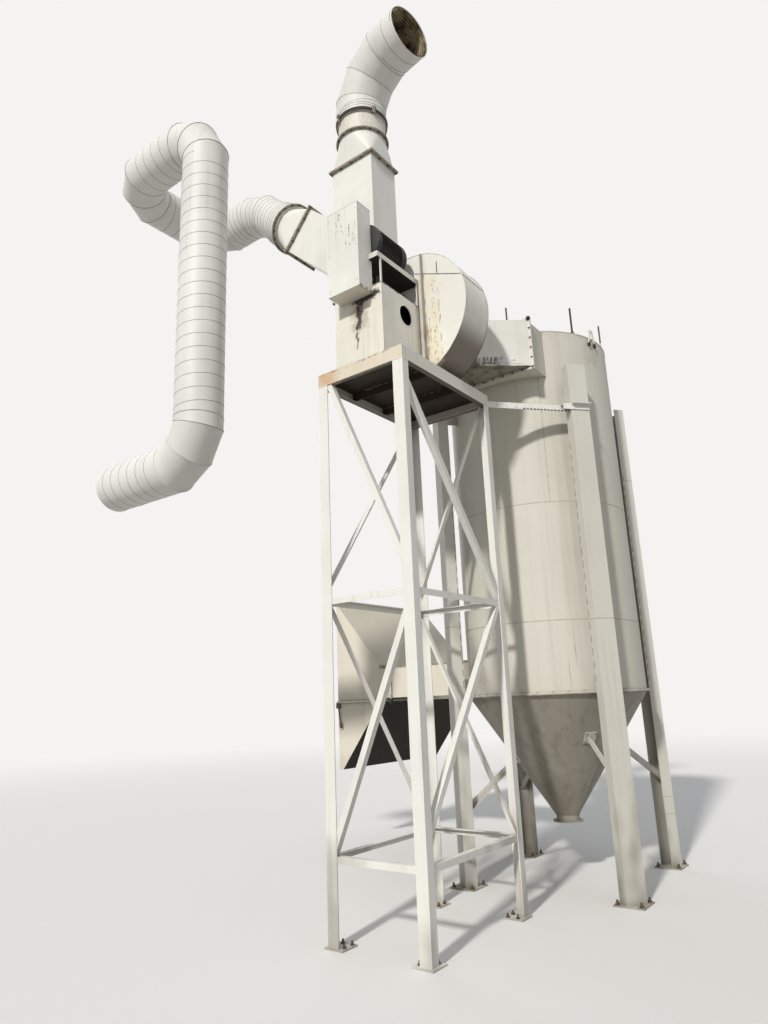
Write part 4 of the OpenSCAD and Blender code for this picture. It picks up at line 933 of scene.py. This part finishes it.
# broken rows of weld near the back edge of each leg, where it is tacked to its brackets
STITCH_X = LEG_RING - POST_DEEP / 2 + 0.010  # near the back edge
STITCH_FROM, STITCH_LONG, STITCH_STEP = 1.80, 0.065, 0.115
stitches = [[], []]
for leg in leg_frames:
    for side in (-1, 1):
        n = leg.to_3x3() @ Vector((0, side, 0))
        for k in range(20):
            start = Vector((STITCH_X, side * POST_WIDE / 2, STITCH_FROM + STITCH_STEP * k))
            end = start + Vector((0, 0, STITCH_LONG))
            line_bead(leg @ start, leg @ end, n, 0.008, 0.003, stitches, 4)
make_piece("vessel_leg_stitch_welds", *stitches, clip_zinc, "vessel_paint", 60)

# bolts of the four pads on the cone
heads = []
for leg, z in zip(leg_frames, (1.307, 1.251, 1.180, 1.112)):
    pad = leg @ shift((OUT_R + (z - CONE_FOOT) * math.tan(tilt), 0, z)) @ Matrix.Rotation(tilt, 4, "Y")
    out = pad.to_3x3() @ Vector((1, 0, 0))
    heads += [(pad @ Vector((0.0083, y, up)), out) for y in (-0.045, 0.045) for up in (-0.045, 0.045)]
bolt_set("cone_pad_bolts", 0.010, heads, cone_enamel, "cone_paint")


# ---------------------------------------------------------------- spiral ducts
def bend_runs(matrix, mitres, angle, gore, first, last):
    """The straights of a mitred bend that starts along the matrix's Z and turns towards its Y."""
    at, runs = matrix.copy(), []
    for k in range(mitres + 1):
        long = first if k == 0 else last if k == mitres else gore
        runs.append((at.copy(), long))
        at = at @ shift((0, 0, long)) @ turned(-angle / mitres)
    return runs


def mitre_seams(runs, radius, turn, out):
    """The dark joint lines where the gores of a bend meet, each turned from the last by an angle."""
    lean = math.tan(math.radians(turn / 2))
    for at, long in runs[:-1]:
        spokes = [round_z(2 * math.pi * k / 72) for k in range(72)]
        points = [at @ (n * radius + Vector((0, 0, long - n.y * radius * lean))) for n in spokes]
        bead(points, [at.to_3x3() @ n for n in spokes], LOCK_SEAM[0], 1.4 * LOCK_SEAM[1], out, True)


RETURN_Z, WALL_Z = BRANCH_Z + 1.159, 3.853
RETURN_Y, WALL_Y = corner.y + 3.344, corner.y + 3.250
rise_sin, rise_cos = math.sin(math.radians(BRANCH_SLOPE)), math.cos(math.radians(BRANCH_SLOPE))
half_slope = math.radians(BRANCH_SLOPE / 2)
foot_y, foot_z = riser_foot.translation.y, riser_foot.translation.z
rise = (RETURN_Z - foot_z - RISER_GORE * math.sin(half_slope)) / rise_sin
rise_y = foot_y + rise * rise_cos + RISER_GORE * math.cos(half_slope)
bend_long = RETURN_GORE * (math.cos(math.radians(30)) + math.cos(math.radians(60)))
bend_reach = bend_long + RETURN_COLLAR
run_to_cross = RETURN_Y - bend_reach - rise_y
cross_run = DUCT_X - DROP_X - bend_long - bend_reach
front_run = RETURN_Y - DROP_Y - bend_long - bend_reach
wall_run = WALL_Y - DROP_Y - bend_long

# each bend: name, start, number of mitres, whole angle, length of a gore, of the first run and of the last
bends = [("riser", riser_foot, 2, BRANCH_SLOPE, RISER_GORE, rise, run_to_cross)]
for name, start, facing, last in (
    ("cross", (DUCT_X, RETURN_Y - bend_reach, RETURN_Z), turned(-90, 90), cross_run),
    ("front", (DROP_X + bend_reach, RETURN_Y, RETURN_Z), turned(y=-90) @ turned(z=180), front_run),
    ("turn", (DROP_X, DROP_Y + bend_reach, RETURN_Z), turned(90) @ turned(z=180), RETURN_COLLAR),
    ("wall", (DROP_X, DROP_Y, WALL_Z + bend_reach), turned(y=180), wall_run),
):
    bends.append((name, shift(start) @ facing, 3, 90, RETURN_GORE, RETURN_COLLAR, last))
seams, joints = [[], []], [[], []]
drop_axis = shift((DROP_X, DROP_Y, 0))
lock_seam(drop_axis, RETURN_R, drop_low.z + 0.01, drop_high.z - 0.01, seams)
for name, matrix, mitres, angle, gore, first, last in bends:
    runs = bend_runs(matrix, mitres, angle, gore, first, last)
    clear = RETURN_R * math.tan(math.radians(angle / mitres / 2)) + 0.012
    pitch = LOCK_SEAM_PITCH / 2 if name == "riser" else LOCK_SEAM_PITCH
    for k, (at, long) in enumerate(runs):
        z0 = SLEEVE_LONG + 0.045 if name == "riser" and k == 0 else 0.006 if k == 0 else clear
        z1 = long - 0.006 if k == mitres else long - clear
        if z1 - z0 > 0.9 * pitch:
            lock_seam(at, RETURN_R, z0, z1, seams, 0.8 * k, pitch)
    mitre_seams(runs, RETURN_R, angle / mitres, seams)
    if name != "riser":
        ring_bead(matrix, RETURN_R, 0.0, 0.020, 0.003, joints)
    if name == "wall":
        for z in (0.011, 0.300):
            ring_bead(runs[-1][0], RETURN_R, runs[-1][1] - z, 0.020, 0.004, joints)
ring_bead(drop_axis, RETURN_R, drop_low.z, 0.020, 0.003, joints)
make_piece("return_lock_seams", *seams, seam_dirt, "duct_paint", 60)
make_piece("return_joint_bands", *joints, spiral_enamel, "duct_paint", 60)

stack = stack_foot @ turned(z=180 - STACK_TURN)
runs = bend_runs(stack, 3, 90, STACK_GORE, STACK_FIRST, STACK_LAST)
last_at = runs[-1][0]
clear = STACK_R * math.tan(math.radians(MITRE / 2))
seams = [[], []]
for z in (0.040, 0.068):
    ring_bead(stack, STACK_R, z, *LOCK_SEAM, seams)
lock_seam(stack, STACK_R, 0.085, STACK_FIRST - clear - 0.01, seams)
lock_seam(last_at, STACK_R, clear + 0.02, STACK_LAST - 0.02, seams, 1.0)
mitre_seams(runs, STACK_R, MITRE, seams)
make_piece("stack_lock_seams", *seams, seam_dirt, "duct_paint", 60)
lip = [[], []]
ring_bead(last_at, STACK_R, STACK_LAST - 0.008, 0.016, 0.004, lip)
make_piece("stack_mouth_lip", *lip, spiral_enamel, "duct_paint", 60)

# corrugated liner seen in the open mouth; its dark patches are painted shade inside the mouth, with some soot
RIB_PITCH, RIB_HIGH, LINER_DEPTH = 0.030, 0.010, 0.340
profile = []
for k in range(81):
    z = STACK_LAST - 0.004 - LINER_DEPTH * k / 80
    wave = math.cos(2 * math.pi * (STACK_LAST - z) / RIB_PITCH)
    profile.append((STACK_R - 0.016 - RIB_HIGH * wave, z))
vertices, faces = lathe(profile, 64)
liner = [[], []]
placed(vertices, faces[:-2], last_at, liner)  # without the two end caps
make_piece("stack_mouth_liner", *liner, liner_steel, "duct_paint", 80)

# ---------------------------------------------------------------- intake fittings
side_x = hood_low.x + FLANGE_OUT
fittings = [[], []]
lever_top = Vector((side_x - 0.014, corner.y + 3.240, 1.650))
lever_end = Vector((side_x - 0.030, corner.y + 3.182, 1.396))
lever_long = (lever_end - lever_top).length
lever = shift(lever_top) @ towards(lever_end - lever_top)
lathed([(0.007, 0.0), (0.007, lever_long)], 12, lever, fittings)
grip = ((0.011, 0.07), (0.016, 0.05), (0.016, 0.005), (0.010, 0))
lathed([(r, lever_long - z) for r, z in grip], 16, lever, fittings)
block((0.026, 0.060, 0.070), 0.004, shift(lever_top + Vector((0.002, 0, 0.02))), fittings)
make_piece("hopper_lever", *fittings, bolt_steel, "cone_paint")
rod, ends = [[], []], [[], []]
rod_at = Vector((side_x - 0.022, corner.y + 2.395, 1.700))
lathed([(0.006, 0.0), (0.006, 0.06), (0.014, 0.07), (0.014, 0.36), (0.006, 0.37), (0.006, 0.43)], 14,
    shift(rod_at), rod)
for z in (0.0, 0.430):
    block((0.040, 0.040, 0.050), 0.004, shift(rod_at + Vector((0.004, 0, z))), ends)
make_piece("link_door_rod", *rod, lug_enamel, "vessel_paint")
make_piece("link_door_brackets", *ends, soot_and_shade_black, "vessel_paint")
link_low, link_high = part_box("intake_link")
strip = [[], []]
strip_long = link_high.y - VESSEL_Y - VESSEL_R
block((0.006, strip_long, 0.026), 0.0015,
    shift((link_low.x - 0.003, link_high.y - strip_long / 2, link_high.z - 0.013)), strip)
make_piece("link_top_strip", *strip, flange_steel, "vessel_paint", 30)

# ---------------------------------------------------------------- studio
EYE = Vector((-6.5166, -4.4203, 1.712))
YAW, PITCH, ROLL = (math.radians(d) for d in (36.75, 14.62, -2.303))
LENS_MM, SENSOR_MM = 25.38, 36  # the sensor's long side

look = Vector((math.cos(YAW) * math.cos(PITCH), math.sin(YAW) * math.cos(PITCH), math.sin(PITCH)))
level_right = Vector((math.sin(YAW), -math.cos(YAW), 0))
level_up = level_right.cross(look)
right = level_right * math.cos(ROLL) + level_up * math.sin(ROLL)
up = level_up * math.cos(ROLL) - level_right * math.sin(ROLL)
camera_data = bpy.data.cameras.new("camera")
camera_data.sensor_width = SENSOR_MM
camera_data.lens = LENS_MM
camera_data.clip_end = 200
camera = bpy.data.objects.new("camera", camera_data)
camera.matrix_world = Matrix((right, up, -look)).transposed().to_4x4()
camera.location = EYE
bpy.context.scene.collection.objects.link(camera)
bpy.context.scene.camera = camera


def seen_as_backdrop(tree):
    """1 for the rays that see the backdrop: the camera's, and those that metal and glass send on."""
    rays = add(tree, "LightPath").node.outputs
    sharp = add(tree, "Math", rays["Is Camera Ray"], rays["Is Glossy Ray"], operation="MAXIMUM")
    return add(tree, "Math", sharp, rays["Is Transmission Ray"], operation="MAXIMUM")


REACH, FADE_FROM, FADE_TO = 90.0, 9.0, 26.0  # metres
BACKDROP = linear("#F4F3F1")
floor_mesh = bpy.data.meshes.new("floor")
floor_mesh.from_pydata([(-REACH, -REACH, 0), (REACH, -REACH, 0), (REACH, REACH, 0), (-REACH, REACH, 0)], [],
    [(0, 1, 2, 3)])
floor = bpy.data.objects.new("floor", floor_mesh)
bpy.context.scene.collection.objects.link(floor)
floor_paint, tree, shader, where = new_finish("matt studio floor")
shader.inputs["Roughness"].default_value = 0.9
is_seen = seen_as_backdrop(tree)
bounce, pale = linear("#B4B2AE"), linear("#F0EFEC")
tree.links.new(add(tree, "Mix", is_seen, bounce, pale, data_type="RGBA"), shader.inputs["Base Color"])
far = add(tree, "VectorMath", where, operation="LENGTH")
haze = add(tree, "MapRange", far, FADE_FROM, FADE_TO, 0.0, 1.0, interpolation_type="SMOOTHSTEP")
haze = add(tree, "Math", haze, is_seen, operation="MULTIPLY")
glow = add(tree, "Emission", BACKDROP, 1.0)
both = add(tree, "MixShader", haze, shader.outputs[0], glow)
tree.links.new(both, tree.nodes["Material Output"].inputs["Surface"])
floor_mesh.materials.append(floor_paint)

world = bpy.data.worlds.new("studio")
bpy.context.scene.world = world
world.use_nodes = True
tree = world.node_tree
fill = tree.nodes["Background"]
fill.inputs["Color"].default_value = linear("#F1F4F8")
fill.inputs["Strength"].default_value = 0.36
backdrop = add(tree, "Background", BACKDROP, 1.0)
both = add(tree, "MixShader", seen_as_backdrop(tree), fill.outputs[0], backdrop)
tree.links.new(both, tree.nodes["World Output"].inputs["Surface"])


def lamp(name, watts, tint, azimuth, elevation, softness):
    """A far lamp of even light that shines from an azimuth and elevation, in degrees."""
    data = bpy.data.lights.new(name, "SUN")
    data.energy = watts
    data.color = linear(tint)[:3]
    data.angle = math.radians(softness)
    lamp_object = bpy.data.objects.new(name, data)
    a, e = math.radians(azimuth), math.radians(elevation)
    back = Vector((math.cos(a) * math.cos(e), math.sin(a) * math.cos(e), math.sin(e)))
    lamp_object.rotation_euler = back.to_track_quat("Z", "Y").to_euler()
    bpy.context.scene.collection.objects.link(lamp_object)


lamp("key", 2.60, "#FFFCF6", 190, 33, 4)
lamp("front fill", 0.08, "#F0F4FF", 262, 25, 40)
lamp("back fill", 0.45, "#F4F6FF", 55, 30, 40)

bpy.context.scene.view_settings.view_transform = "Standard"
